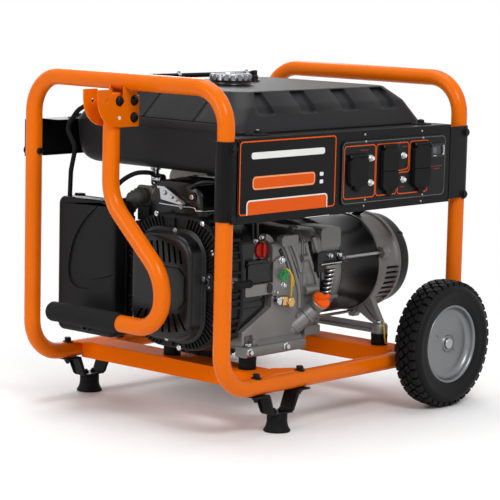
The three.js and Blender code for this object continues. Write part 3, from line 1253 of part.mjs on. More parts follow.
function carburettorBody() {
  const middleY = (carb.y0 + carb.y1) / 2;
  const middleZ = (carb.z0 + carb.z1) / 2;
  const middleX = (carb.x0 + carb.x1) / 2;
  const towardCarb = Math.sign(middleX - fuelValve.x);
  const body = block(carb.x0, carb.x1, carb.y0, carb.y1, carb.z0, carb.z1);
  const bowl = rodZ(carb.bowlRadius, carb.z0 - carb.bowlDepth, carb.z0 + overlapIn, middleX, middleY);
  const elbowPath = new BentPath([
    [carb.x0 + overlapIn, middleY, middleZ], [carb.x0 - elbow.reach, middleY, middleZ],
    [carb.x0 - elbow.reach, elbow.y, elbow.z], [airBox.backX + seatGap, elbow.y, elbow.z]],
  [elbow.bend, elbow.bend], hoseSteps);
  const duct = sweep(disc(elbow.radius, sides.coarse), elbowPath);
  const port = alongCylinder(rodX(elbow.radius, carb.x1 - cylinder.x - overlapIn, -cylinder.half - seatGap, 0,
    (cylinder.finTop + cylinder.headTop) / 2, sides.coarse));
  const riser = block(carb.x1 - overlapIn, carb.x1 + carb.riser, carb.y0, carb.y1, carb.z0 - carb.bowlDepth,
    carb.z1);
  const spigot = rodY(choke.spigot, carb.y0 - seatGap, carb.y0 + overlapIn, choke.x, middleZ, sides.coarse);
  const hose = sweep(disc(fuelHose.radius, sides.small), new BentPath([
    [fuelValve.x + towardCarb * (fuelValve.bossRadius + seatGap), fuelValve.y, fuelValve.z],
    [middleX, fuelValve.y, fuelValve.z],
    [middleX, fuelValve.y + fuelHose.reach, carb.z1 - overlapIn]], [fuelHose.bend], hoseSteps));
  return join(body, bowl, duct, port, riser, spigot, hose);
}

function chokeLever() {
  const z = (carb.z0 + carb.z1) / 2;
  const face = carb.y0 - seatGap * 2;
  const hub = rodY(choke.hub, face - choke.thickness, face, choke.x, z, sides.coarse);
  const arm = block(choke.x, choke.x + choke.length, face - choke.thickness, face, z - choke.width / 2,
    z + choke.width / 2);
  return join(hub, arm);
}

const killSwitch = { x: -144, z: 322, radius: 15, dial: 6, depth: 12, bar: 5, barHalf: 13 };

function engineSwitch() {
  const y = crank.y - crankcase.halfWidth + crankcase.recess - seatGap;
  const dial = rodY(killSwitch.radius, y - killSwitch.dial, y, killSwitch.x, killSwitch.z);
  const bar = block(killSwitch.x - killSwitch.bar / 2, killSwitch.x + killSwitch.bar / 2, y - killSwitch.depth,
    y - overlapIn, killSwitch.z - killSwitch.barHalf, killSwitch.z + killSwitch.barHalf);
  return join(dial, bar);
}

// Governor spring: one unbroken wire wound between the two shelves on the alternator adapter

const spring = { x: 36, turns: 5, coilRadius: 6.5, wire: 1.1 };
const coilStep = 8;
const coilSides = 5;
const springTop = springSeat.upperZ - seatGap - spring.wire;
const springBottom = springSeat.lowerZ + springSeat.thickness + seatGap + spring.wire;

class CoilPath extends THREE.Curve {
  getPoint(share) {
    const angle = share * spring.turns * 2 * Math.PI;
    const y = crank.y - alternator.radius - springSeat.reach / 2;
    return new THREE.Vector3(spring.x + spring.coilRadius * Math.cos(angle),
      y + spring.coilRadius * Math.sin(angle), springBottom + share * (springTop - springBottom));
  }
}

// The least gap between one turn of the spring and the next, measured on points along it
function leastCoilGap(path, steps) {
  const points = path.getSpacedPoints(steps);
  const apart = coilStep / 2;
  let least = Infinity;
  for (let i = 0; i < points.length; i += 1) {
    for (let j = i + apart; j < points.length; j += 1) {
      least = Math.min(least, points[i].distanceTo(points[j]));
    }
  }
  return least - 2 * spring.wire;
}

function governorSpring() {
  const steps = spring.turns * coilStep;
  const path = new CoilPath();
  console.log('governor spring, least gap between turns in mm:', leastCoilGap(path, steps).toFixed(2));
  return solid(new THREE.ExtrudeGeometry(disc(spring.wire, coilSides), { steps, extrudePath: path }));
}

// Assembly

addPiece(generator, 'near_hoop', orangePaint, hoop(nearX, 1));
addPiece(generator, 'far_hoop', orangePaint, hoop(farX, -1));
addPiece(generator, 'front_rail', orangePaint, sideRail(-1));
addPiece(generator, 'rear_rail', orangePaint, sideRail(1));
addPiece(generator, 'near_crossbar', orangePaint, crossbarAt(crossbar.nearX));
addPiece(generator, 'far_crossbar', orangePaint, crossbarAt(crossbar.farX));
for (const [label, side] of [['front', -1], ['rear', 1]]) {
  addPiece(generator, `${label}_foot_bracket`, blackPaint, footBracket(side));
  addPiece(generator, `${label}_foot`, blackRubber, rubberFoot(side));
  addWheel(label, side);
}
addPiece(generator, 'handle_bracket', orangePaint, handleBracket());
addPiece(generator, 'handle_tube', orangePaint, handleTube());
addPiece(generator, 'handle_grip', blackRubber, handleGrip());
addPiece(generator, 'control_panel', blackPaint, controlPanel());
addPiece(generator, 'outlet_plate', blackPaint, outletPlateBody());
for (const outlet of outlets) addPiece(generator, outlet.name, blackRubber, outletCover(outlet));
breakers.forEach((place, i) =>
  addPiece(generator, `breaker_button_${i + 1}`, brightMetal, breakerButton(place)));
addPiece(generator, 'hour_meter', blackPaint, hourMeter());
addPiece(generator, 'tank_upper', darkPlastic, tankUpper());
addPiece(generator, 'tank_lower', darkPlastic, tankLower());
addPiece(generator, 'fuel_cap', brightMetal, fuelCap());
addPiece(generator, 'vent_hose', blackRubber, ventHoseBody());
addPiece(generator, 'rear_tank_support', blackPaint, rearTankSupport());
addPiece(generator, 'fuel_valve_lever', blackPaint, fuelValveLever());
[['engine_front_mount', crossbar.nearX, mountYs[0]], ['engine_rear_mount', crossbar.nearX, mountYs[1]],
  ['alternator_front_mount', crossbar.farX, mountYs[0]], ['alternator_rear_mount', crossbar.farX, mountYs[1]],
].forEach(([name, x, y]) => addPiece(generator, name, blackRubber, rubberMount(x, y, engineFootTop)));
addPiece(generator, 'crankcase', castGrey, crankcaseBody());
addPiece(generator, 'crankcase_cover', castGrey, crankcaseCover());
addPiece(generator, 'dipstick', orangePlastic, dipstickBody());
addPiece(generator, 'cylinder', castGrey, cylinderBody());
addPiece(generator, 'rocker_cover', castGrey, rockerCover());
addPiece(generator, 'blower_housing', blackPaint, blowerHousing());
addPiece(generator, 'recoil_cover', darkPlastic, recoilCover());
addPiece(generator, 'recoil_grip', blackRubber, recoilGrip());
addPiece(generator, 'flywheel', castGrey, flywheelBody());
addPiece(generator, 'crankshaft', steel, crankshaftBody());
addPiece(generator, 'rotor', steel, rotorBody());
addPiece(generator, 'alternator_adapter', castGrey, alternatorAdapter());
addPiece(generator, 'stator', blackPaint, statorBody());
addPiece(generator, 'end_bell', castGrey, endBell());
addPiece(generator, 'end_cover', blackPaint, endCover());
addPiece(generator, 'muffler', steel, mufflerBody());
addPiece(generator, 'air_box_cover', darkPlastic, airBoxCover());
addPiece(generator, 'air_box_base', darkPlastic, airBoxBase());
addPiece(generator, 'air_box_knob', darkPlastic, airBoxKnob());
addPiece(generator, 'carburettor', castGrey, carburettorBody());
addPiece(generator, 'choke_lever', brightMetal, chokeLever());
addPiece(generator, 'engine_switch', redPlastic, engineSwitch());
addPiece(generator, 'governor_spring', brightMetal, governorSpring());

// The origin is at the middle of the whole outline's foot
const wrapReach = (tubeRadius + seatGap + sheet) * Math.cos(Math.PI / sides.medium);
generator.position.x = -(bracket.left + farX + wrapReach) / 2;

export default generator;
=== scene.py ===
"""Portable generator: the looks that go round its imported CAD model.

Shapes are gathered in millimetres in the CAD's working axes: +X from the handle to the wheels,
the control panel faces -Y, the ground is Z = 0. They are turned into metres as they are made.
"""

from math import atan2, cos, hypot, pi, radians, sin, tan

import bmesh
import bpy
from mathutils import Matrix, Quaternion, Vector
from mathutils.geometry import tessellate_polygon


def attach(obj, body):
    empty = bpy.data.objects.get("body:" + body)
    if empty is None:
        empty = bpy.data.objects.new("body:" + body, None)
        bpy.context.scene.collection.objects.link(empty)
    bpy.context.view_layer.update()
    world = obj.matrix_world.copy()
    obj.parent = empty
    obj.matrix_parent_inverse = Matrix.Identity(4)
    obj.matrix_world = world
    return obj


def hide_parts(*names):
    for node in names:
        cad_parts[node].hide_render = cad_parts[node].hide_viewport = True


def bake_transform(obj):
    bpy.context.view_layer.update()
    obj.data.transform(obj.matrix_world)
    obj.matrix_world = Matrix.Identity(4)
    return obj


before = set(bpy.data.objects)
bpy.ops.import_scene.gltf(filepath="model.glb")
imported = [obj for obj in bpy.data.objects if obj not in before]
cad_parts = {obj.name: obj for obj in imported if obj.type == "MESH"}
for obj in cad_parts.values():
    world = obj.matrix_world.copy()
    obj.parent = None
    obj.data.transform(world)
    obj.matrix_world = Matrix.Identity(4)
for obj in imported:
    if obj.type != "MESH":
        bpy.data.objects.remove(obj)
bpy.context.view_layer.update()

MM = 0.001
SHIFT = 32.22215  # the CAD's origin along X, in the working axes
WELD = 2e-6
SMOOTH_ANGLE = radians(38)
BEVEL_ANGLE = radians(32)
BOTH = (-1, 1)

# Frame
TUBE = 15.875
NEAR_X, FAR_X = -339, 339
FRONT_Y, REAR_Y = -249, 249
RAIL_Z, TOP_Z, BEND = 90, 631, 70
RAIL_TOP, RAIL_BOTTOM = RAIL_Z + TUBE, RAIL_Z - TUBE
WHEEL_X, WHEEL_Y, WHEEL_Z = 230, 309, 124
AXLE_END, TYRE_HALF, TREAD_RADIUS = 325, 29, 121
KNOBS_ROUND, KNOB_ROWS, KNOB_PITCH, SHOULDER_DROP = 40, 4, 12.2, 3.0
FOOT_X = -185
PIVOT_X, HANDLE_Y, PIVOT_Z, LOCK_Z, BRACKET_BOLT_X = -367.5, 9, 597, 566, -330

# Control panel and tank
SHEET = 2
WRAP = TUBE + 0.3
PANEL_FACE = FRONT_Y - WRAP - SHEET
PANEL = (-331, 290, 393, 545)
PLATE_FACE = PANEL_FACE - 0.3 - 2.4
OUTLETS = (("locking", -2, 54, 64), ("left", 92, 47, 92), ("right", 190, 50, 92))
OUTLET_Z = 463
BREAKERS = ((39, 492), (39, 446), (137, 492), (137, 446))
PIN = 3.2
HINGE_Y = PLATE_FACE - 2 - PIN
TANK_X, TANK_Y, SEAM_Z, TANK_TOP, TANK_CORNER = 272, 217, 548, 617, 30
TANK_BOLT_X, TANK_BOLT_Y = 238, 232
CHANNELS = (-177, -59, 59, 177)
GROOVES = (-97, 32, 161)
CHANNEL_HALF, CHANNEL_DEPTH, CHANNEL_FOOT, CHANNEL_HEAD = 20.5, 9, 577, 614
GROOVE_HALF, GROOVE_DEPTH, GROOVE_FOOT, CREASE_Z, CREASE = 3.6, 4.5, 560, 561, 1.8
CAP_X = -60
VALVE_X, VALVE_Y = 75, 62

# Engine and alternator
CRANK_Y, CRANK_Z = -80, 262
MOUNT_XS, MOUNT_YS = (-190, 198), (-177, 17)
FOOT_LOW, FOOT_HIGH = 128.5, 148.5
BLOWER, BLOWER_CORNER = (-200, 40, 142, 390), 85
COWL = (-128, 12, 338.4, 450)
AIR_BOX = (47, 202, 146, 403)
THROUGH_ROD_RADIUS = 101
ROPE_X, ROPE_Z = -262, 276
FACE_Y = -178


# Shapes in millimetres

def at(x, y, z, turn=0.0, axis="X"):
    """A place, turned about an axis through it."""
    return Matrix.Translation((x, y, z)) @ Matrix.Rotation(turn, 4, axis)


def about_crank(turn):
    return at(0, CRANK_Y, CRANK_Z, turn)


TILT = at(-118, CRANK_Y, CRANK_Z, radians(35 - 90))  # along the leaning cylinder
NECK = at(-18, -172, 186, radians(45))  # along the oil neck


def axial(axis, along, a, b):
    return {"X": (along, a, b), "Y": (a, along, b), "Z": (a, b, along)}[axis]


def turns(count, start=0.0):
    return [start + 2 * pi * i / count for i in range(count)]


def circle(radius, count, a=0.0, b=0.0):
    return [(a + radius * cos(t), b + radius * sin(t)) for t in turns(count)]


def rounded(a0, a1, b0, b1, radius, steps=5):
    """A rectangle with round corners; radius may be one number or four, from low left round to high left."""
    radii = radius if isinstance(radius, tuple) else (radius,) * 4
    corners = [(a0, b0, 1, 1, pi), (a1, b0, -1, 1, 1.5 * pi), (a1, b1, -1, -1, 0), (a0, b1, 1, -1, 0.5 * pi)]
    points = []
    for (a, b, da, db, start), r in zip(corners, radii):
        arc = [start + pi / 2 * i / steps for i in range(steps + 1)] if r > 0 else [0]
        points += [(a + r * (da + cos(t)), b + r * (db + sin(t))) for t in arc]
    return points


def rect(x0, x1, z0, z1):
    return [(x0, z0), (x1, z0), (x1, z1), (x0, z1)]


def around(outline, x):
    return [(x, y, z) for y, z in outline]


def facing(y, *pairs):
    return [(x, y, z) for x, z in pairs]


def skin_of(area, radius, steps, ease=1.0, least=0.0):
    """A round-cornered outline that can be drawn in by an inset."""
    a0, a1, b0, b1 = area
    return lambda inset: rounded(a0 + inset, a1 - inset, b0 + inset, b1 - inset,
                                 max(least, radius - inset * ease), steps)


def shells(skin, *rows):
    """Rings of a housing across X; each row is the skin's inset and its X."""
    return [around(skin(*insets), x) for *insets, x in rows]


def bent(corners, radii, steps=8, closed=False):
    """A path of straight runs joined by round bends."""
    corners = [Vector(c) for c in corners]
    count = len(corners)
    points = []
    for i, corner in enumerate(corners):
        if not closed and i in (0, count - 1):
            points.append(corner)
            continue
        into = (corner - corners[i - 1]).normalized()
        out = (corners[(i + 1) % count] - corner).normalized()
        radius = radii[i - 1] if isinstance(radii, tuple) else radii
        angle = into.angle(out)
        start = corner - into * radius * tan(angle / 2)
        side = (out - into * into.dot(out)).normalized()
        for s in range(steps + 1):
            t = angle * s / steps
            points.append(start + into * radius * sin(t) + side * radius * (1 - cos(t)))
    return points


def smooth(points, per=6):
    """A smooth curve through the points."""
    p = [Vector(q) for q in points]
    p = [2 * p[0] - p[1], *p, 2 * p[-1] - p[-2]]
    out = []
    for i in range(1, len(p) - 2):
        a, b, c, d = p[i - 1:i + 3]
        for t in (s / per for s in range(per)):
            out.append(0.5 * (2 * b + (c - a) * t + (2 * a - 5 * b + 4 * c - d) * t * t
                              + (3 * b - 3 * c + d - a) * t ** 3))
    return out + [p[-2]]


class Shape:
    """Points and faces in millimetres. Each face keeps the number of its finish."""

    def __init__(self):
        self.points, self.faces, self.finish, self.now = [], [], [], 0

    def use(self, number):
        self.now = number
        return self

    def add(self, points, faces, place=None):
        start = len(self.points)
        self.points += [place @ Vector(p) if place else Vector(p) for p in points]
        self.faces += [[start + i for i in f] for f in faces]
        self.finish += [self.now] * len(faces)
        return self

    def rings(self, rings, closed=False, place=None):
        """Skins rings of equal count, one to the next."""
        n, last = len(rings[0]), len(rings) - 1
        faces = []
        for r in range(last + closed):
            a, b = r * n, (r + 1) % len(rings) * n
            faces += [[a + i, a + (i + 1) % n, b + (i + 1) % n, b + i] for i in range(n)]
        if not closed:
            faces += [list(range(n))[::-1], [last * n + i for i in range(n)]]
        return self.add([p for ring in rings for p in ring], faces, place)

    def prism(self, axis, outline, low, high, place=None):
        return self.rings([[axial(axis, a, *p) for p in outline] for a in (low, high)], place=place)

    def prisms(self, axis, *pieces):
        for outline, low, high in pieces:
            self.prism(axis, outline, low, high)
        return self

    def pad(self, axis, area, radius, low, high, steps=5, place=None):
        """A prism over a rectangle with round corners."""
        return self.prism(axis, rounded(*area, radius, steps), low, high, place)

    def plate(self, axis, outline, holes, low, high):
        """A flat piece with holes through it."""
        loops = [outline, *holes]
        flat = [p for loop in loops for p in loop]
        n = len(flat)
        tris = tessellate_polygon([[Vector((*p, 0)) for p in loop] for loop in loops])
        faces = [list(t) for t in tris] + [[i + n for i in reversed(t)] for t in tris]
        start = 0
        for m in map(len, loops):
            ring = [(start + i, start + (i + 1) % m) for i in range(m)]
            faces += [[a, b, b + n, a + n] for a, b in ring]
            start += m
        return self.add([axial(axis, a, *p) for a in (low, high) for p in flat], faces)

    def box(self, x0, x1, y0, y1, z0, z1, place=None):
        return self.prism("Z", rect(x0, x1, y0, y1), z0, z1, place)

    def rod(self, axis, radius, low, high, a, b, count=24, place=None):
        return self.prism(axis, circle(radius, count, a, b), low, high, place)

    def lathe(self, axis, profile, a=0.0, b=0.0, count=32, closed=False, place=None):
        """Profile pairs are radius and height along the axis."""
        rings = [[axial(axis, h, *p) for p in circle(max(r, 1e-4), count, a, b)] for r, h in profile]
        return self.rings(rings, closed, place)

    def bolt(self, axis, radius, base, height, a, b, place=None):
        """A chamfered hex head; height may be negative to face the other way."""
        profile = [(radius, base), (radius, base + height * 0.8), (radius * 0.82, base + height)]
        return self.lathe(axis, profile, a, b, 6, place=place)

    def dome(self, axis, radius, base, height, a, b, count):
        profile = [(radius, base), (radius, base + height * 0.25)]
        profile += [(radius * cos(t), base + height * (0.25 + 0.75 * sin(t))) for t in (0.35, 0.7, 1.05, 1.35)]
        return self.lathe(axis, profile, a, b, count)

    def sweep(self, path, section, closed=False):
        """Carries a flat section of pairs along a path, without turning it about the path."""
        path = [Vector(p) for p in path]
        n = len(path)
        if closed:
            tangents = [(path[(i + 1) % n] - path[i - 1]).normalized() for i in range(n)]
        else:
            tangents = [(path[min(i + 1, n - 1)] - path[max(i - 1, 0)]).normalized() for i in range(n)]
        up = Vector((0, 0, 1)) if abs(tangents[0].z) < 0.9 else Vector((1, 0, 0))
        normals = [(up - tangents[0] * up.dot(tangents[0])).normalized()]
        for before, now in zip(tangents, tangents[1:]):
            normal = before.rotation_difference(now) @ normals[-1]
            normals.append((normal - now * normal.dot(now)).normalized())
        slip = 0.0
        if closed:
            end = tangents[-1].rotation_difference(tangents[0]) @ normals[-1]
            slip = atan2(end.cross(normals[0]).dot(tangents[0]), end.dot(normals[0]))
        rings = []
        for i in range(n):
            u = Quaternion(tangents[i], slip * i / n) @ normals[i]
            v = tangents[i].cross(u)
            rings.append([path[i] + u * a + v * b for a, b in section])
        return self.rings(rings, closed)

    def tube(self, path, radius, count, closed=False):
        return self.sweep(path, circle(radius, count), closed)

    def wire(self, points, radius, count, per=6):
        """A tube along a smooth curve through the points."""
        return self.tube(smooth(points, per), radius, count)


def mesh_of(name, shape, weld=False):
    """The shape's mesh in metres, with its faces turned outward."""
    mesh = bpy.data.meshes.new(name)
    mesh.from_pydata([((p[0] + SHIFT) * MM, p[1] * MM, p[2] * MM) for p in shape.points], [], shape.faces)
    for polygon, number in zip(mesh.polygons, shape.finish):
        polygon.material_index = number
    bm = bmesh.new()
    bm.from_mesh(mesh)
    if weld:
        bmesh.ops.remove_doubles(bm, verts=bm.verts, dist=WELD)
    bmesh.ops.recalc_face_normals(bm, faces=bm.faces)
    bm.to_mesh(mesh)
    bm.free()
    return mesh


def shade(piece, angle, bevel, segments):
    piece.data.shade_smooth()
    piece.data.set_sharp_from_angle(angle=angle)
    if bevel:
        m = piece.modifiers.new("edges", "BEVEL")
        m.width, m.segments, m.limit_method, m.angle_limit = bevel * MM, segments, "ANGLE", BEVEL_ANGLE
        m.harden_normals = True


def make(name, shape, look, body="root", slot=None, bevel=0.0, segments=2, replaces=(), angle=SMOOTH_ANGLE):
    """Makes a piece that rides on a CAD body. The slot argument is not used."""
    looks = look if isinstance(look, list) else [look]
    mesh = mesh_of(name, shape, weld=True)
    for m in looks:
        mesh.materials.append(m)
    piece = bpy.data.objects.new(name, mesh)
    bpy.context.scene.collection.objects.link(piece)
    shade(piece, angle, bevel, segments)
    if body:
        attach(piece, body)
    if replaces:
        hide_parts(*replaces)
    return piece


def carve(piece, cutter, bevel=0.0, segments=2):
    """Cuts a shape out of a piece, then rounds the edges that are left."""
    tool = bpy.data.objects.new("cutter", mesh_of("cutter", cutter))
    bpy.context.scene.collection.objects.link(tool)
    m = piece.modifiers.new("cut", "BOOLEAN")
    m.operation, m.solver, m.object = "DIFFERENCE", "EXACT", tool
    graph = bpy.context.evaluated_depsgraph_get()
    mesh = bpy.data.meshes.new_from_object(piece.evaluated_get(graph))
    piece.modifiers.clear()
    piece.data = mesh
    bpy.data.objects.remove(tool)
    shade(piece, SMOOTH_ANGLE, bevel, segments)


# Finishes

MOTTLE_SCALE, MOTTLE_DETAIL = 14, 5
BUMP_STRENGTH, COAT_ROUGHNESS = 0.4, 0.12


def node(tree, kind, inputs, **settings):
    """Adds a shader node. Its inputs are values, or sockets to link."""
    made = tree.nodes.new("ShaderNode" + kind)
    for key, value in settings.items():
        setattr(made, key, value)
    for key, value in inputs.items():
        feed(tree, made.inputs[key], value)
    return made


def feed(tree, socket, value):
    if isinstance(value, bpy.types.NodeSocket):
        tree.links.new(value, socket)
    else:
        socket.default_value = value


def finish(name, colour, rough, metal=0.0, grain=300, bump=0.0, mottle=0.12, spread=0.08, coat=0.0,
           detail=3, cells=False, gleam=0.14):
    """A finish with mottled colour, uneven roughness and a fine grain. Its colour runs from 0 to 255."""
    colour = [c / 255 / 12.92 if c <= 10 else ((c / 255 + 0.055) / 1.055) ** 2.4 for c in colour]
    material = bpy.data.materials.new(name)
    material.use_nodes = True
    tree = material.node_tree
    place = node(tree, "TexCoord", {}).outputs["Object"]
    wide = node(tree, "TexNoise", {"Vector": place, "Scale": MOTTLE_SCALE, "Detail": MOTTLE_DETAIL})
    mix = node(tree, "Mix", {"Factor": wide.outputs["Fac"], "A": [c * (1 - mottle) for c in colour] + [1],
                             "B": [min(1, c * (1 + mottle)) for c in colour] + [1]}, data_type="RGBA")
    if cells:
        fine = node(tree, "TexVoronoi", {"Vector": place, "Scale": grain})
    else:
        fine = node(tree, "TexNoise", {"Vector": place, "Scale": grain, "Detail": detail})
    uneven = node(tree, "MapRange", {"Value": fine.outputs[0], "To Min": max(0.02, rough - spread),
                                     "To Max": min(1, rough + spread)})
    looks = {"Metallic": metal, "Coat Weight": coat, "Coat Roughness": COAT_ROUGHNESS, "Specular IOR Level": gleam,
             "Base Color": mix.outputs["Result"], "Roughness": uneven.outputs["Result"]}
    if bump:
        raised = node(tree, "Bump", {"Strength": BUMP_STRENGTH, "Distance": bump * MM, "Height": fine.outputs[0]})
        looks["Normal"] = raised.outputs["Normal"]
    for key, value in looks.items():
        feed(tree, tree.nodes["Principled BSDF"].inputs[key], value)
    return material


orange = finish("orange_paint", (222, 103, 0), 0.24, grain=260, bump=0.02, mottle=0.04, spread=0.04, coat=0.07,
                gleam=0.1)
orange_sheet = finish("orange_sheet", (238, 106, 0), 0.5, grain=260, mottle=0.04, spread=0.04,
                      gleam=0.02)
black_paint = finish("black_paint", (15, 15, 16), 0.38, grain=900, bump=0.12, mottle=0.15, gleam=0.1)
gloss_black = finish("gloss_black", (8, 8, 8), 0.3, grain=500, bump=0.02, mottle=0.2, gleam=0.12)
plate_black = finish("plate_black", (14, 14, 15), 0.4, grain=1200, bump=0.06, mottle=0.15, gleam=0.15)
tank_black = finish("tank_black", (30, 30, 32), 0.44, grain=700, bump=0.4, mottle=0.1, detail=4, gleam=0.12)
plastic = finish("black_plastic", (17, 17, 18), 0.4, grain=900, bump=0.12)
gloss_plastic = finish("gloss_plastic", (10, 10, 11), 0.24, grain=500, bump=0.05, mottle=0.2,
                       gleam=0.3)
rubber = finish("black_rubber", (18, 18, 19), 0.6, grain=700, bump=0.12, mottle=0.18, gleam=0.1)
foam = finish("foam", (27, 27, 28), 0.85, grain=900, bump=0.4, mottle=0.2, cells=True, gleam=0.15)
tyre_black = finish("tyre", (18, 18, 19), 0.56, grain=420, bump=0.2, mottle=0.2, gleam=0.12)
cast = finish("cast_alloy", (124, 123, 121), 0.44, metal=0.5, grain=650, bump=0.35, mottle=0.18, detail=5)
cast_dark = finish("cast_dark", (92, 92, 90), 0.5, metal=0.45, grain=650, bump=0.3, mottle=0.2, detail=5)
rim_silver = finish("rim_silver", (122, 123, 125), 0.32, metal=0.8, grain=500, bump=0.05)
steel = finish("steel", (165, 166, 168), 0.32, metal=0.95, grain=400, bump=0.05)
chrome = finish("chrome", (184, 185, 188), 0.16, metal=1.0, bump=0.01, mottle=0.08, spread=0.05)
brass = finish("brass", (214, 176, 120), 0.28, metal=0.9, grain=400, bump=0.05, mottle=0.15)
red = finish("red_plastic", (200, 40, 30), 0.4, grain=600, bump=0.05)
orange_plastic = finish("orange_plastic", (240, 92, 14), 0.42, grain=700, bump=0.08, mottle=0.08)
# White for print and the spark plug's insulator, and a painted highlight on the breaker knobs and the lock pin.
white_print = finish("white_print", (226, 226, 224), 0.45, grain=900, bump=0.01, mottle=0.04)
grey_print = finish("grey_print", (104, 106, 110), 0.45, grain=900, bump=0.01, mottle=0.06)
orange_print = finish("orange_print", (216, 84, 10), 0.42, grain=900, bump=0.01, mottle=0.05, gleam=0.12)
pale_print = finish("pale_orange_print", (236, 150, 104), 0.42, grain=900, bump=0.01, mottle=0.05)
dull_print = finish("dull_orange_print", (120, 52, 30), 0.5, grain=900, bump=0.01, mottle=0.1)
bolt_black = finish("bolt_black", (24, 24, 26), 0.34, metal=0.4, grain=600, bump=0.05)
green = finish("green_wire", (30, 150, 70), 0.4, grain=600, bump=0.03)
yellow = finish("yellow_wire", (222, 182, 40), 0.42, grain=600, bump=0.03)
satin = finish("satin_plastic", (15, 15, 16), 0.3, grain=900, bump=0.1, gleam=0.3)
# Near-black painted shade: the insides of socket holes, parts seen through slots, a crease on the cover and the tail
# pipe's bore.
painted_shade = finish("painted_shade", (12, 12, 13), 0.7, grain=600, bump=0.05)
glass = finish("meter_glass", (62, 66, 70), 0.15, mottle=0.1)
digits = finish("meter_digits", (96, 100, 103), 0.3, mottle=0.1)
cap_metal = finish("cap_metal", (132, 133, 136), 0.24, metal=0.9, grain=400, bump=0.03, mottle=0.15)
guide_grey = finish("guide_grey", (92, 94, 96), 0.4, metal=0.3, grain=600, bump=0.08)
guard_metal = finish("guard_metal", (66, 68, 72), 0.2, metal=0.7, grain=500, bump=0.05, mottle=0.2)
rope_white = finish("rope", (196, 196, 190), 0.75, grain=900, bump=0.15, mottle=0.15)
can_steel = finish("muffler_steel", (116, 112, 108), 0.46, metal=0.8, grain=500, bump=0.12, mottle=0.22)
stator_black = finish("stator_black", (11, 11, 12), 0.34, grain=500, bump=0.05, mottle=0.2, gleam=0.2)
elbow_grey = finish("elbow_grey", (74, 74, 72), 0.5, grain=500, bump=0.06, mottle=0.1)
flywheel_iron = finish("flywheel_iron", (92, 92, 94), 0.5, metal=0.7, grain=500, bump=0.12, mottle=0.2)
copper = finish("rotor_laminations", (104, 84, 66), 0.42, metal=0.75, grain=700, bump=0.1, mottle=0.18)


# Camera, floor and light

EYE = (-3119, -2819, 863)
YAW, PITCH, ROLL = radians(47.95), radians(7.73), radians(-1.33)
LENS = 2168 / 500 * 36
FLOOR_HALF, FLOOR_Z, FLOOR_FADE = 9, -0.0004, (0.9, 1.9)
WORLD_LIGHT = 0.4
LAMP_AIM = (0, 0, 0.3)
LAMPS = (("key", (-1.2, -2.4, 2.6), 1.4, 56), ("top", (0.2, 0.3, 3.0), 2.2, 42),
         ("side", (-3.0, 0.6, 1.4), 1.6, 25), ("rear", (1.8, 2.6, 1.9), 1.6, 30))


def add_camera(scene):
    ahead = Vector((sin(YAW) * cos(PITCH), cos(YAW) * cos(PITCH), -sin(PITCH)))
    level = Vector((cos(YAW), -sin(YAW), 0))
    down = ahead.cross(level)
    right = level * cos(ROLL) + down * sin(ROLL)
    up = level * sin(ROLL) - down * cos(ROLL)
    data = bpy.data.cameras.new("camera")
    data.sensor_width, data.lens = 36, LENS
    camera = bpy.data.objects.new("camera", data)
    turn = Matrix((right, up, -ahead)).transposed().to_4x4()
    camera.matrix_world = Matrix.Translation(Vector((EYE[0] + SHIFT, EYE[1], EYE[2])) * MM) @ turn
    scene.collection.objects.link(camera)
    scene.camera = camera


def shown(tree):
    """A socket that is 1 for camera, glossy and transmission rays, and 0 for the light on the object."""
    path = node(tree, "LightPath", {})
    seen = path.outputs["Is Camera Ray"]
    for kind in ("Is Glossy Ray", "Is Transmission Ray"):
        seen = node(tree, "Math", {0: seen, 1: path.outputs[kind]}, operation="MAXIMUM").outputs[0]
    return seen


def add_floor(scene):
    """A pale floor that fades to plain white well away from the object."""
    mesh = bpy.data.meshes.new("floor")
    h = FLOOR_HALF
    mesh.from_pydata([(-h, -h, 0), (h, -h, 0), (h, h, 0), (-h, h, 0)], [], [(0, 1, 2, 3)])
    floor = bpy.data.objects.new("floor", mesh)
    floor.location.z = FLOOR_Z
    scene.collection.objects.link(floor)
    material = bpy.data.materials.new("floor")
    material.use_nodes = True
    mesh.materials.append(material)
    tree = material.node_tree
    shader = tree.nodes["Principled BSDF"]
    for key, value in (("Base Color", (0.94, 0.94, 0.94, 1)), ("Roughness", 0.7), ("Specular IOR Level", 0.1)):
        shader.inputs[key].default_value = value
    reach = node(tree, "VectorMath", {0: node(tree, "NewGeometry", {}).outputs["Position"]}, operation="LENGTH")
    fade = node(tree, "MapRange", {"Value": reach.outputs["Value"], "From Min": FLOOR_FADE[0],
                                   "From Max": FLOOR_FADE[1]}, interpolation_type="SMOOTHSTEP")
    white = node(tree, "Emission", {"Color": (1, 1, 1, 1), "Strength": 1})
    gate = node(tree, "Math", {0: fade.outputs["Result"], 1: shown(tree)}, operation="MULTIPLY")
    mix = node(tree, "MixShader", {0: gate.outputs[0], 1: shader.outputs["BSDF"], 2: white.outputs["Emission"]})
    tree.links.new(mix.outputs["Shader"], tree.nodes["Material Output"].inputs["Surface"])


def add_light(scene):
    world = bpy.data.worlds.new("studio")
    world.use_nodes = True
    tree = world.node_tree
    back = tree.nodes["Background"]
    back.inputs["Color"].default_value = (1, 1, 1, 1)
    level = node(tree, "MapRange", {"Value": shown(tree), "To Min": WORLD_LIGHT, "To Max": 1.0})
    tree.links.new(level.outputs["Result"], back.inputs["Strength"])
    scene.world = world
    for name, place, size, power in LAMPS:
        light = bpy.data.lights.new(name, "AREA")
        light.shape, light.size, light.energy = "DISK", size, power
        lamp = bpy.data.objects.new(name, light)
        lamp.location = place
        lamp.rotation_mode = "QUATERNION"
        lamp.rotation_quaternion = (Vector(place) - Vector(LAMP_AIM)).to_track_quat("Z", "Y")
        scene.collection.objects.link(lamp)


def camera_and_stage():
    scene = bpy.context.scene
    scene.view_settings.view_transform = "Standard"
    add_camera(scene)
    add_floor(scene)
    add_light(scene)


# Frame, feet, wheels and lift handle

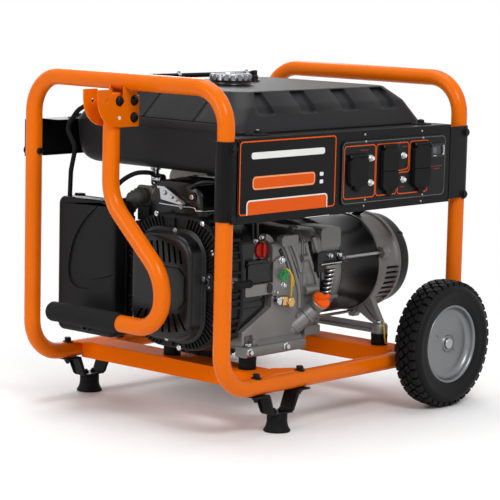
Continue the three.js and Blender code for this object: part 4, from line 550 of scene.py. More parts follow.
def tube_frame():
    """One closed run of tube through both hoops and both rails."""
    loop = [(NEAR_X, REAR_Y, RAIL_Z), (NEAR_X, REAR_Y, TOP_Z), (NEAR_X, FRONT_Y, TOP_Z), (NEAR_X, FRONT_Y, RAIL_Z),
            (FAR_X, FRONT_Y, RAIL_Z), (FAR_X, FRONT_Y, TOP_Z), (FAR_X, REAR_Y, TOP_Z), (FAR_X, REAR_Y, RAIL_Z)]
    make("frame_tube", Shape().tube(bent(loop, BEND, 12, closed=True), TUBE, 32, closed=True), orange,
         replaces=("near_hoop", "far_hoop", "front_rail", "rear_rail"))


def axles():
    shape = Shape()
    for side in BOTH:
        skin = side * (REAR_Y + TUBE - 1)
        area = (WHEEL_X - 22, WHEEL_X + 22, RAIL_Z - 12, WHEEL_Z + 18)
        shape.use(0).pad("Y", area, (4, 4, 14, 14), *sorted((skin, skin + side * 6)))
        shape.use(1).rod("Y", 8, *sorted((skin, side * AXLE_END)), WHEEL_X, WHEEL_Z)
        nut = [(r, side * h) for r, h in ((11, 323.3), (11, 325.4), (9, 327.3), (3, 327.3), (2.4, 325.8))]
        shape.lathe("Y", nut, WHEEL_X, WHEEL_Z, 28)
    make("axle_brackets", shape, [orange, steel], bevel=0.8)


def crossbars():
    """Formed channels. The near one flares out over the rails, the far one has a tab on each."""
    half, top, depth, wall, reach = 32, RAIL_TOP, 32, 2.5, 233.5
    for label, x in (("near", MOUNT_XS[0]), ("far", MOUNT_XS[1])):
        low, left, right = top - depth, x - half, x + half
        channel = [(left, low), (left + wall, low), (left + wall, top - wall), (right - wall, top - wall),
                   (right - wall, low), (right, low), (right, top), (left, top)]
        shape = Shape().prism("Y", channel, -reach, reach)
        for side in BOTH:
            if label == "near":
                flare = [(left, side * 205), (left - 22, side * 249), (right + 62, side * 249), (right + 4, side * 205)]
                lip = [(right + 62, side * 236), (right + 4, side * 205), (right + 2, side * 207.2),
                       (right + 58, side * 238)]
                shape.prisms("Z", (flare, top - 3, top - 0.4), (lip, top - 14, top - 0.4))
            else:
                tab = [(left, side * 231), (right, side * 231), (right, side * 243), (left, side * 243)]
                shape.prism("Z", tab, top - wall, top - 0.3)
        make(f"{label}_crossbar_sheet", shape, orange_sheet, bevel=1.2, replaces=(f"{label}_crossbar",))


def feet():
    x, half, seat = FOOT_X, 16, 33.3
    arm_line = ((38, RAIL_BOTTOM - 0.3), (41.5, RAIL_BOTTOM - 0.3), (25.2, seat), (22, seat))
    web_line = ((41, RAIL_BOTTOM - 3), (46, RAIL_BOTTOM - 3), (29, 36), (24, 36))
    profile = [(0, 0), (24.2, 0), (25, 0.8), (25, 2.6), (24, 4), (21.2, 9), (19.4, 15), (19, 20), (19, 31.6),
               (18, 33), (0, 33)]
    for label, y in (("front", FRONT_Y), ("rear", REAR_Y)):
        sheet, bolts = Shape(), Shape()
        for hand in BOTH:
            ends = sorted((x + hand * 38, x + hand * 74))
            sheet.box(*ends, y - half, y + half, RAIL_BOTTOM - 3.3, RAIL_BOTTOM - 0.3)
            arm, web = ([(x + hand * a, z) for a, z in outline] for outline in (arm_line, web_line))
            sheet.prisms("Y", (arm, y - half, y + half), (web, y - half, y - half + 3), (web, y + half - 3, y + half))
            out, inn = x + hand * 60, x + hand * 9
            bolts.lathe("Z", [(10, RAIL_TOP - 1.2), (10, RAIL_TOP + 1.2), (4, RAIL_TOP + 1.4)], out, y, 24)
            bolts.bolt("Z", 6.8, RAIL_TOP + 1, 7.5, out, y)
            bolts.bolt("Z", 6.8, RAIL_BOTTOM - 3.3, -6, out, y)
            bolts.rod("Z", 3.5, RAIL_BOTTOM - 13, RAIL_BOTTOM - 6, out, y, 16)
            bolts.bolt("Z", 5.2, 36.3, 5, inn, y)
            bolts.rod("Z", 2.8, 38, 44, inn, y, 16)
        sheet.box(x - 25, x + 25, y - half, y + half, seat, seat + 3)
        make(f"{label}_foot_sheet", sheet, bolt_black, bevel=0.7, replaces=(f"{label}_foot_bracket",))
        make(f"{label}_foot_bolts", bolts, bolt_black, bevel=0.4)
        make(f"{label}_rubber_foot", Shape().lathe("Z", profile, x, y, 48), rubber, replaces=(f"{label}_foot",))


def wheels():
    """A dished rim, a smooth sidewall and a tread of crossing knobs. Heights run outward from the wheel's middle."""
    sidewall = [(91, -27), (95, -29), (101, -29.5), (108, -28.6), (112, -26.6), (114, -23.5), (115.6, -19),
                (116.6, -12), (117, 0), (116.6, 12), (115.6, 19), (114, 23.5), (112, 26.6), (108, 28.6),
                (104, 29.4), (101.5, 29.4), (100, 28.6), (97.5, 28.6), (96, 27.8), (90, 27.4), (84, 26.2),
                (79.5, 24.6), (77.2, 23), (76.4, 21), (77, 17), (91, 15), (91, -25)]
    dish = [(8.3, -29), (16, -29), (16, 6), (57, 6), (62, 0), (66, -14), (78, -20), (86, -26), (90.5, -27.5),
            (92, -27), (92, -24), (88, -22), (86, 0), (83, 10), (77.6, 15), (76.6, 19), (76.8, 22), (75.6, 23.6),
            (73.4, 23.8), (71.6, 22.6), (70.6, 19), (69.4, 15), (67, 11.6), (63.4, 9.4), (60, 9), (57, 9), (27, 9),
            (24, 9.6), (21.5, 10.6), (17.2, 10.6), (16, 12), (15.6, 13.6), (14.6, 14.2), (10.6, 14.2), (9.6, 13.4),
            (8.3, 13.4)]
    for label, side in (("front", -1), ("rear", 1)):
        place = at(WHEEL_X, side * WHEEL_Y, WHEEL_Z, -side * pi / 2)
        tyre = Shape().lathe("Z", sidewall, count=96, closed=True, place=place)
        for i in range(KNOBS_ROUND):
            for row in range(KNOB_ROWS):
                turn = 2 * pi * (i + 0.5 * (row % 2)) / KNOBS_ROUND
                out = {0: -1, KNOB_ROWS - 1: 1}.get(row, 0)
                knob(tyre, place, turn, (row - (KNOB_ROWS - 1) / 2) * KNOB_PITCH, out)
        make(f"{label}_tyre_rubber", tyre, tyre_black, body=f"{label}_wheel", bevel=0.5, segments=1,
             replaces=(f"{label}_tyre",))
        rim = Shape().lathe("Z", dish, count=96, closed=True, place=place)
        for turn in (0.0, pi):
            rim.box(28, 36, -0.9, 0.9, 8.6, 10.2, place @ Matrix.Rotation(turn + 2.6, 4, "Z"))
        make(f"{label}_rim_steel", rim, rim_silver, body=f"{label}_wheel", replaces=(f"{label}_rim",),
             angle=radians(50))


def knob(shape, place, turn, middle, out):
    """One knob: a diamond in the middle rows, and a wedge that wraps over the shoulder where out is -1 or 1."""
    if out:
        base, top, lean = 115.4, 123.4, 0.9
        outline = [(-8.4, middle - out * 5.2), (0, middle - out * 9.2), (8.4, middle - out * 5.2),
                   (7.4, middle + out * 5.0), (-7.4, middle + out * 5.0)]
    else:
        base, top, lean = 116.6, 124.0, 0.92
        outline = [(-8.6, middle), (0, middle - 8.2), (8.6, middle), (0, middle + 8.2)]
    lower, upper = [], []
    for a, z in outline:
        drop = SHOULDER_DROP * (abs(z) / TYRE_HALF) ** 3 if out else 0
        for ring, radius, along, height in ((lower, base - 1.5 - drop, a, z),
                                            (upper, top - drop, a * lean, middle + (z - middle) * lean)):
            ring.append((radius * cos(turn + along / TREAD_RADIUS), radius * sin(turn + along / TREAD_RADIUS), height))
    shape.rings([lower, upper], place=place)


def lift_handle():
    x = PIVOT_X
    path = bent([(x, 9, 611), (x, 9, 416), (x, -127, 288), (x, -127, 190), (x, 158.5, 190)], (85, 85, 58), 14)
    make("handle_bent_tube", Shape().tube(path, TUBE, 32), orange, body="handle", replaces=("handle_tube",), bevel=1.2)
    profile = [(16, -22), (17.6, -22), (18.6, -21), (18.8, -18), (18.8, 156), (18.3, 160), (16.6, 163.2), (13, 164.8),
               (0, 165)]
    make("handle_foam", Shape().lathe("Y", profile, x, 190, 40), foam, body="handle", replaces=("handle_grip",))


def handle_plates():
    y, inner, sheet = HANDLE_Y, TUBE + 1, 3
    outer = inner + sheet
    outline = [(-421, 618), (-421, 600), (-418.5, 583), (-411, 569), (-401, 559), (-388, 552), (-371, 549),
               (-319, 549), (-317, 551), (-317, 606), (-322, 606), (-322.5, 621), (-325, 624), (-353, 624),
               (-356, 620), (-357, 606), (-383, 606), (-386, 609), (-387, 617), (-389, 618)]
    holes = [circle(4, 20, PIVOT_X, LOCK_Z), circle(4, 20, -398, PIVOT_Z)]
    shape = Shape()
    for low, high in ((y - outer, y - inner), (y + inner, y + outer)):
        shape.plate("Y", outline, holes, low, high)
    shape.box(-320, -317, y - inner - 1, y + inner + 1, 549, 606)
    for side in BOTH:
        shape.lathe("X", [(7, -326), (7, -318)], y + side * 24, 600, 16)
    plates = make("handle_plates", shape, orange, replaces=("handle_bracket",))
    carve(plates, Shape().rod("Y", TUBE + 0.4, -60, 80, NEAR_X, TOP_Z, 48), bevel=0.7)
    shape = Shape()
    for x, z in ((BRACKET_BOLT_X, PIVOT_Z), (BRACKET_BOLT_X, LOCK_Z), (PIVOT_X, PIVOT_Z)):
        for side in BOTH:
            face = y + side * outer
            shape.lathe("Y", [(9.6, face), (9.6, face + side), (8.6, face + side * 1.4)], x, z, 28)
            shape.dome("Y", 8.2, face + side, side * 5.4, x, z, 28)
        shape.rod("Y", 4, y - inner - 1, y + inner + 1, x, z, 16)
    make("handle_bolts", shape, bolt_black)
    # The steel pin is white as a painted highlight, standing in for its glint.
    shape = Shape().rod("Y", 3.6, y - outer - 1.2, y + outer + 1.2, PIVOT_X, LOCK_Z, 20)
    make("lock_pin", shape, white_print, slot="steel", bevel=0.8)


# Control panel: folded sheet that wraps round both front uprights

def wrap_outline(x, hand, y, side, inner_edge, reach=pi):
    """Sheet bent round an upright, from the panel's edge past the tube and round its far side."""
    arc = [reach * i / 16 for i in range(17)]
    outer, inner = ([(x + hand * r * sin(t), y + side * r * cos(t)) for t in arc] for r in (WRAP + SHEET, WRAP))
    return [(inner_edge, y + side * (WRAP + SHEET)), *outer, *inner[::-1], (inner_edge, y + side * WRAP)]


def control_panel():
    left, right, low, high = PANEL
    face, back, deep, shelf = PANEL_FACE, PANEL_FACE + SHEET, PANEL_FACE + 62, PANEL_FACE + 42
    profile = [(face, low), (deep, low), (deep, low + SHEET), (back, low + SHEET), (back, high - SHEET),
               (shelf, high - SHEET), (shelf, high), (face, high)]
    body = make("panel_sheet", Shape().prism("X", profile, left, right), black_paint, replaces=("control_panel",))
    carve(body, Shape().box(-29, 265, face - 6, back + 6, 417, 510.5), bevel=2.2, segments=3)
    wall = [(face + 2.4, low + 0.6), (deep, low + 0.6), (deep, high - 36), (shelf - 1, high - 0.6),
            (face + 2.4, high - 0.6)]
    shape = Shape()
    for x in (left + 12, right - SHEET):
        shape.prism("X", wall, x, x + SHEET)
    for outline in (wrap_outline(NEAR_X, -1, FRONT_Y, -1, left + 5), wrap_outline(FAR_X, 1, FRONT_Y, -1, right - 4)):
        shape.prism("Z", outline, low + 5, high - 5)
    make("panel_wraps", shape, black_paint, bevel=0.7)
    shape = Shape()
    back_nut = FRONT_Y + WRAP
    for x in (NEAR_X, FAR_X):
        for z in (404, 527):
            shape.lathe("Y", [(9.5, face + 0.2), (9.5, face - 0.9), (7, face - 1.4)], x, z, 28)
            shape.bolt("Y", 7, face - 0.8, -4.6, x, z)
            shape.bolt("Y", 7, back_nut - 1.2, 5.6, x, z)
            shape.dome("Y", 4.2, back_nut + 4, 4.5, x, z, 16)
    make("panel_bolts", shape, bolt_black, bevel=0.4)
    shape = Shape()
    for x, z in ((24, 537), (24, 524), (197, 536), (198, 523), (25, 415), (25, 403), (200, 413), (200, 400)):
        shape.dome("Y", 2.3, (PLATE_FACE if 407 < z < 527 else face) + 0.1, -1.7, x, z, 14)
    make("panel_screws", shape, steel)


def outline_strip(shape, corners, radius, width, y, thick):
    """A printed line of even width round a closed path on the panel."""
    w = width / 2
    section = [(-w, -thick), (w, -thick), (w, thick), (-w, thick)]
    shape.sweep(bent(facing(y, *corners), radius, 5, closed=True), section, closed=True)


def label():
    """The left plate, with plain stripes of the photo's colours."""
    y, shape = PANEL_FACE, Shape()
    shape.pad("Y", (-323, -60, 408, 540), 7, y - 0.7, y + 0.2)
    outline_strip(shape.use(1), rect(-321.6, -61.4, 409.4, 538.6), 6, 2.4, y - 0.7, 0.22)
    for number, area, radius, lift in (
            (2, (-303, -82, 408.2, 434.5), (0, 0, 8, 8), 1.0), (1, (-300.4, -84.6, 408.2, 432.0), (0, 0, 6, 6), 1.2),
            (2, (-292, -92, 507, 519), 5, 0.95), (3, (-288, -118, 452, 476), 8, 0.9),
            (1, (-285, -121, 455, 473), 6, 1.1),
            (2, (-105, -95, 453, 460), 2, 0.9), (2, (-105, -95, 467, 474), 2, 0.9)):
        shape.use(number).pad("Y", area, radius, y - lift, y - 0.6)
    make("front_label", shape, [gloss_black, orange_print, white_print, pale_print])


def outlet_plate():
    y, shape = PLATE_FACE, Shape()
    shape.pad("Y", (-45, 272, 407, 527), 12, y, y + 2.4, 8)
    outline_strip(shape.use(1), rect(-42, 269, 410, 524), 10, 1.1, y, 0.15)
    for zone in (rect(-38, 53, 419, 517), [(56, 420), (119, 420), (119, 463), (154, 466), (154, 517), (56, 517)],
                 [(122, 419), (215, 419), (215, 518), (157.5, 518), (157.5, 460), (122, 460)]):
        outline_strip(shape.use(2), zone, 7, 2.0, y, 0.2)
    for x, z, width in ((20, 508, 22), (143, 509, 18), (137, 432, 14), (243, 466, 34), (243, 461, 20)):
        shape.use(3).box(x - width / 2, x + width / 2, y - 0.12, y + 0.1, z - 0.8, z + 0.8)
    make("outlet_face", shape, [plate_black, grey_print, orange_print, dull_print], bevel=0.25, segments=1,
         replaces=("outlet_plate", "hour_meter"))


def sockets():
    y, shape = PLATE_FACE, Shape()
    for name, x, width, height in OUTLETS:
        half_w, half_h = width / 2 - 8, height / 2 - 9
        low, high, hinge_z = OUTLET_Z - half_h, OUTLET_Z + half_h, OUTLET_Z + height / 2 + PIN
        holes = []
        for z in [OUTLET_Z] if name == "locking" else [OUTLET_Z - half_h / 2, OUTLET_Z + half_h / 2]:
            holes += [rect(x + d - 1.3, x + d + 1.3, z, z + 8) for d in (-6, 6)]
            holes.append(circle(2.4, 12, x, z - 7))
        shape.use(0).plate("Y", rounded(x - half_w, x + half_w, low, high, 5), holes, y - 1.6, y - 0.1)
        # The near-black box behind the pin holes is painted shade inside the socket.
        shape.use(1).box(x - half_w + 1, x + half_w - 1, y - 0.5, y, low + 1, high - 1)
        for hand in BOTH:
            lug = (HINGE_Y - PIN, y + 0.4, hinge_z - PIN, hinge_z + PIN)
            shape.use(0).pad("X", lug, (3, 0, 0, 3), *sorted((x + hand * (width / 2 - 4), x + hand * width / 2)), 4)
        shape.rod("X", 1.4, x - width / 2, x + width / 2, HINGE_Y, hinge_z, 12)
    make("sockets", shape, [gloss_plastic, painted_shade], slot="panel_black", bevel=0.35)


def breakers():
    y, shape = PLATE_FACE, Shape()
    ring = [(4.5, y), (7.2, y), (7.2, y - 1), (6.4, y - 1.2), (6.4, y - 2.8), (5.6, y - 3.4), (4.5, y - 3.4)]
    for i, (x, z) in enumerate(BREAKERS, 1):
        shape.lathe("Y", ring, x, z, 6, closed=True)
        # The knobs are white as a painted highlight, standing in for the chrome's glint.
        button = Shape().lathe("Y", [(3.8, y + 6), (3.8, y - 6.4), (3.2, y - 7.6), (1.5, y - 8)], x, z, 24)
        make(f"breaker_knob_{i}", button, white_print, body=f"breaker_{i}", slot="chrome",
             replaces=(f"breaker_button_{i}",))
    make("breaker_nuts", shape, chrome, bevel=0.3)


def hour_meter():
    y = PLATE_FACE
    shape = Shape().plate("Y", rounded(221, 265, 483.5, 510.5, 4), [rounded(226, 254, 489, 506, 2)], y - 3.3, y + 0.1)
    shape.use(1).box(225, 255, y - 1.8, y - 0.1, 488, 507)
    shape.use(2).box(228, 240, y - 2.0, y - 1.6, 492, 503)
    for x0, x1, z0, z1 in ((257.5, 261.5, 504, 506), (260, 262, 490, 506), (257, 262, 488, 490),
                           (229, 237, 486, 487.4)):
        shape.use(3).box(x0, x1, y - 3.5, y - 3.1, z0, z1)
    make("meter_face", shape, [gloss_plastic, glass, digits, white_print], slot="panel_black", bevel=0.5)


def outlet_flaps():
    """Sprung covers: chamfered caps with a pull tab below, split by a seam on the tall ones."""
    for name, x, width, height in OUTLETS:
        ride = dict(body=f"{name}_cover")
        duplex = name != "locking"
        half, low = width / 2, OUTLET_Z - height / 2 + 12
        left, right, hinge_z = x - half, x + half, OUTLET_Z + height / 2 + PIN
        top, inner = hinge_z - 2.4, HINGE_Y + 2.6
        shape = Shape()
        for z0, z1 in [(low, 464.4), (465.6, top)] if duplex else [(low, top)]:
            c0, c1 = 7 if z0 == low else 0.6, 8 if z1 == top else 0.6
            side = z0 + c0 + 0.8 * (c0 > 1)
            outline = [(left + c0, z0), (right - c0, z0), (right, side), (right, z1 - c1), (right - c1, z1),
                       (left + c1, z1), (left, z1 - c1), (left, side)]
            shape.prism("Y", outline, HINGE_Y - PIN, inner)
        skirt = [(left - 0.8, low + 8), (left + 7, low - 0.8), (right - 7, low - 0.8), (right + 0.8, low + 8),
                 (right + 0.8, top - 8), (right - 8, top + 0.6), (left + 8, top + 0.6), (left - 0.8, top - 8)]
        tab = [(x - 11, low + 3), (x - 10, low - 4), (x - 3, low - 12), (x + 3, low - 12), (x + 10, low - 4),
               (x + 11, low + 3)]
        shape.prisms("Y", (skirt, inner - 2.2, inner + 1.4), (tab, inner - 3.6, inner - 0.2))
        node_name = f"{name}_duplex_cover" if duplex else "locking_outlet_cover"
        make(f"{name}_flap", shape, rubber, bevel=1.5, segments=3, replaces=(node_name,), **ride)
        shape = Shape().rod("X", 3.1, left + 4.4, right - 4.4, HINGE_Y, hinge_z, 20)
        shape.box(left + 8.5, right - 8.5, HINGE_Y - 1.6, HINGE_Y + 2.4, top - 2, hinge_z)
        make(f"{name}_flap_barrel", shape, rubber, bevel=0.4, **ride)


# Fuel tank: shells skinned ring by ring, with channels and grooves pressed in

def line(z, *knots):
    """A value that runs straight between knots of height and value, with the corners eased."""
    def value(h):
        for (z0, v0), (z1, v1) in zip(knots, knots[1:]):
            if h <= z1:
                return v0 + (v1 - v0) * max(0, h - z0) / (z1 - z0)
        return knots[-1][1]
    return sum(value(z + k) for k in range(-3, 4)) / 7


def step(value, edge, soft):
    t = min(1, max(0, (value - edge + soft / 2) / soft))
    return t * t * (3 - 2 * t)


def side_stations():
    """Places along a long side, close together at the channels' walls."""
    xs = {c + s * d for c in CHANNELS for d in (0, 9, 15, 16.6, 17.8, 19, 20.2, 21.4, 25) for s in BOTH}
    return sorted(xs | {-238, -222, -118, 0, 118, 222, 238})


def end_stations():
    ys = {middle + d for middle in GROOVES for d in (-6, -4, -3, -2, 0, 2, 3, 4, 6)}
    return sorted(ys | {-185, -140, -60, -20, 70, 115, 185})


def tank_ring(x0, x1, y0, y1):
    """One level of the tank, as (x, y, side) so that later moves know where they are."""
    r = TANK_CORNER

    def corner(cx, cy, start):
        arc = [start + pi / 2 * i / 7 for i in range(8)]
        return [(cx + r * cos(t), cy + r * sin(t), "corner") for t in arc]

    def within(value, low, high):
        return min(max(value, low + r + 0.01), high - r - 0.01)

    front, ends = [x for x in side_stations() if -240 < x < 240], end_stations()
    return [*((within(x, x0, x1), y0, "front") for x in front), *corner(x1 - r, y0 + r, -pi / 2),
            *((x1, within(y, y0, y1), "far") for y in ends), *corner(x1 - r, y1 - r, 0),
            *((within(x, x0, x1), y1, "rear") for x in front[::-1]), *corner(x0 + r, y1 - r, pi / 2),
            *((x0, within(y, y0, y1), "near") for y in ends[::-1]), *corner(x0 + r, y0 + r, pi)]


def tank_level(z, rise=0.0):
    side = line(z, (SEAM_Z, 0), (590.5, 24), (TANK_TOP, 53)) + rise
    near = line(z, (SEAM_Z, 0), (562, 8.2), (TANK_TOP, 67)) + rise
    far = line(z, (SEAM_Z, 0), (590.5, 25), (TANK_TOP, 54)) + rise
    points = []
    for x, y, where in tank_ring(-TANK_X + near, TANK_X - far, -TANK_Y + side, TANK_Y - side):
        if where in ("front", "rear"):
            across = max(step(CHANNEL_HALF - abs(x - c), 0, 3.6) for c in CHANNELS)
            depth = CHANNEL_DEPTH if where == "front" else -CHANNEL_DEPTH
            y += depth * across * step(z, CHANNEL_FOOT, 3.4) * step(CHANNEL_HEAD - z, 0, 3)
        if where == "near" and z > GROOVE_FOOT:
            across = max(step(GROOVE_HALF - abs(y - middle), 0, 1.8) for middle in GROOVES)
            x += GROOVE_DEPTH * across + CREASE * (z == CREASE_Z)
        points.append((x, y, z))
    return points


def tank():
    rings = [tank_level(z) for z in (
        SEAM_Z + 0.2, 550, 554, 558, 560, 561, 562.5, 565, 570, 574, 575.4, 576, 576.5, 577, 577.5, 578, 578.8,
        581, 585, 587.5, 589, 590.5, 592, 593.5, 596, 601, 606, 610, 613, 615)]
    rings.insert(0, [(x * 1.004, y * 1.005, SEAM_Z) for x, y, z in rings[0]])
    rings += [tank_level(616.2, 0.6), tank_level(616.8, 2.2), tank_level(TANK_TOP, 5)]
    make("tank_upper_shell", Shape().rings(rings), tank_black, replaces=("tank_upper",), angle=radians(48))
    low = [(547.7, -1.2), (546.2, -1.2), (545.6, 0), (520, 1.5), (500, 3.4), (486, 6.5), (480, 9), (475, 12.5),
           (471, 17), (468, 22.5), (466.4, 29), (466, 36)]
    shell = Shape().rings([[(x, y, z) for x, y, _ in tank_ring(-TANK_X + i, TANK_X - i, -TANK_Y + i, TANK_Y - i)]
                           for z, i in low])
    bolts = Shape()
    for x in (-TANK_BOLT_X, TANK_BOLT_X):
        for side in BOTH:
            y = side * TANK_BOLT_Y
            shell.pad("Z", (x - 18, x + 18, *sorted((side * 214, side * 247))), 5, 545.3, 547.4)
            bolts.use(0).lathe("Z", [(10, 547.2), (10, 548.6), (5, 549)], x, y, 24)
            bolts.bolt("Z", 6.8, 548.6, 5.4, x, y)
            bolts.use(1).rod("Z", 3, 553, 555.4, x, y, 12)
            bolts.use(0).pad("Z", (x - 30, x - 19, y - 3, y + 3), 2.5, 546.5, 548.2, 3)
    make("tank_lower_shell", shell, tank_black, replaces=("tank_lower",), angle=radians(48))
    make("tank_bolts", bolts, [bolt_black, steel], bevel=0.4)


def fuel_cap():
    base, top = TANK_TOP + 7.3, TANK_TOP
    neck = [(45, top - 1), (45, top + 1), (43, top + 2), (40, top + 2.4), (39, top + 5), (39, top + 7)]
    make("filler_neck", Shape().lathe("Z", neck, CAP_X, 0, 64), gloss_plastic)
    flutes = 18

    def fluted(*rows):
        rings = []
        for radius, depth, lift in rows:
            radii = [(radius - depth * (1 - max(0.0, cos(t * flutes)) ** 0.6), t) for t in turns(216)]
            rings.append([(CAP_X + r * cos(t), r * sin(t), base + lift) for r, t in radii])
        return rings

    shape = Shape().use(1).rings(fluted((39.5, 0, 0), (40.6, 0, 0.6), (40.6, 0, 2.6), (39, 0, 3)))
    shape.use(0).rings(fluted((40.4, 1.4, 2.8), (41, 2.2, 3.6), (41, 2.4, 11.4), (40, 1.6, 13.2), (38, 0, 14.2),
                              (35, 0, 14.6), (33.6, 0, 14.2), (33, 0, 12.6)))
    lid = [(33.2, base + 12), (33.2, base + 12.9), (30, base + 13.2), (12, base + 13.4)]
    shape.use(1).lathe("Z", lid, CAP_X, 0, 64)
    shape.lathe("Z", [(23, base - 13), (23, base + 2)], CAP_X, 0, 32)
    make("cap_ring", shape, [cap_metal, gloss_plastic], body="cap", replaces=("fuel_cap",))


def vent_hose():
    x, y, hose_z, top = VALVE_X, VALVE_Y, TANK_TOP + 15.3, TANK_TOP
    corners = [(x, y, hose_z), (-215, 96, hose_z - 1), (-292, 178, 566), (-303, 198, 532), (-303, 172, 496),
               (-303, 184, 450), (-303, 186, 403.3)]
    shape = Shape().tube(bent(corners, (30, 30, 20, 20, 30), 10), 4.5, 18)
    make("vent_tube", shape, rubber, replaces=("vent_hose",))
    shape = Shape().lathe("Z", [(12, top - 0.4), (12, top + 2), (8, top + 3), (8, hose_z - 4), (6.4, hose_z - 3),
                                (6.4, hose_z + 5.5), (4.6, hose_z + 6.5)], x, y, 28)
    for z in (top + 4, top + 6.6, top + 9.2):
        shape.lathe("Z", [(8, z), (9, z + 0.4), (9, z + 1.2), (8, z + 1.6)], x, y, 28)
    make("vent_valve", shape, gloss_plastic, bevel=0.3)
    shape = Shape()
    for x in (51, -120):
        y = VALVE_Y + (VALVE_X - x) * 34 / 290
        shape.lathe("X", [(4.4, x), (5.5, x + 0.3), (5.5, x + 7.7), (4.4, x + 8)], y, hose_z - 0.3, 24)
        shape.box(x + 1.5, x + 6.5, y - 2.2, y + 2.2, hose_z + 4.4, hose_z + 8)
    make("hose_clamps", shape, chrome, bevel=0.3)


def rear_support():
    """The folded sheet behind the tank, wrapped a little round each rear upright."""
    inn, low, high = REAR_Y + WRAP, 474, 545
    out, shelf = inn + SHEET, inn + SHEET - 50
    profile = [(inn, low), (inn, high - SHEET), (shelf, high - SHEET), (shelf, high), (out, high), (out, low)]
    lip = [(out, low), (out, low + SHEET), (inn - 12, low + SHEET), (inn - 12, low)]
    ends = (NEAR_X + 2 * TUBE, FAR_X - 2 * TUBE)
    shape = Shape().prisms("X", (profile, *ends), (lip, *ends))
    bolts = Shape()
    for x, hand in ((NEAR_X, -1), (FAR_X, 1)):
        shape.prism("Z", wrap_outline(x, hand, REAR_Y, 1, x - hand * 32, reach=0.6), low, high)
        bolts.lathe("Y", [(9.5, out - 0.2), (9.5, out + 1), (7, out + 1.4)], x, 486, 28)
        bolts.bolt("Y", 7, out + 0.8, 4.2, x, 486)
        bolts.bolt("Y", 7, REAR_Y - WRAP + 1.2, -5.6, x, 486)
    make("rear_sheet", shape, black_paint, bevel=0.9, replaces=("rear_tank_support",))
    make("rear_sheet_bolts", bolts, bolt_black, bevel=0.4)


# Rubber mounts under the engine and the alternator

def mounts():
    names = ("engine_front_mount", "engine_rear_mount", "alternator_front_mount", "alternator_rear_mount")
    low, high = RAIL_TOP + 0.3, FOOT_LOW - 0.3
    body = [(15.8, low + 1.4), (16.6, low + 3), (16.2, low + 8), (16.2, high - 7), (16.8, high - 3), (16, high - 1.6)]
    for name, (x, y) in zip(names, [(x, y) for x in MOUNT_XS for y in MOUNT_YS]):
        shape = Shape().use(1).lathe("Z", [(17, low), (17, low + 1.6)], x, y, 36)
        shape.use(0).lathe("Z", body, x, y, 36)
        shape.use(1).lathe("Z", [(17, high - 1.8), (17, high)], x, y, 36)
        shape.use(2).lathe("Z", [(9, FOOT_HIGH + 0.2), (9, FOOT_HIGH + 1.4)], x, y, 28)
        shape.bolt("Z", 7, FOOT_HIGH + 1.4, 4, x, y)
        shape.rod("Z", 4, RAIL_TOP - 9, FOOT_HIGH + 5.2, x, y, 16)
        shape.bolt("Z", 7, RAIL_TOP - 3, -4.8, x, y)
        make(f"{name}_rubber", shape, [rubber, bolt_black, chrome], bevel=0.4, replaces=(name,))


# Crankcase, its cover and the pieces on the front face

def crankcase():
    outline = rounded(FACE_Y, 18, 148.4, 338, (3, 3, 14, 14), 6)
    block = make("crankcase_block", Shape().prism("X", outline, -208, -42), cast, bevel=2, replaces=("crankcase",))
    cutter = Shape().prism("Y", [(-230, 163.5), (-128, 215.5), (-128, 360), (-230, 360)], -200, -160)
    cutter.rod("X", 67, -199, 0, CRANK_Y, CRANK_Z, 64)
    cutter.rod("X", 17.8, -230, 0, CRANK_Y, CRANK_Z, 32)
    cutter.box(-56, 56, -56, 56, 112, 214, TILT)
    for y in MOUNT_YS:
        cutter.rod("Z", 11, 140, 168, MOUNT_XS[0], y, 24)
    carve(block, cutter, bevel=1, segments=1)
    deck = make("crankcase_deck", Shape().box(-54, 54, -54, 54, 40, 112, TILT), cast, bevel=3)
    cutter = Shape().rod("X", 67, -199, 0, CRANK_Y, CRANK_Z, 64)
    carve(deck, cutter.rod("Z", 44, 20, 130, 0, 0, 48, TILT), bevel=0.6, segments=1)


def crankcase_feet():
    shape = Shape()
    for y in MOUNT_YS:
        shape.pad("X", (y - 15, y + 15, FOOT_LOW, FOOT_HIGH), 4, -208, -42, 4)
    shape.prisms("X", ([(-190, 146), (-170, 146), (-170, 163), (-179, 158), (-184, 151)], -172, -46),
                 ([(8, 146), (29, 146), (22, 152), (16, 163)], -172, -46))
    for x in (-150, -118, -86):
        shape.box(x - 3, x + 3, -172, 12, FOOT_LOW + 1, FOOT_HIGH)
    shape.use(1)
    for x in (-98, -200):
        shape.lathe("Y", [(8.4, -191.6), (8.4, -193.2), (7.6, -193.6)], x, 139, 28)
        shape.lathe("Y", [(5.8, -193.4), (5.8, -197), (4.8, -198)], x, 139, 6)
    make("crankcase_base", shape, [cast, chrome], bevel=1.4)


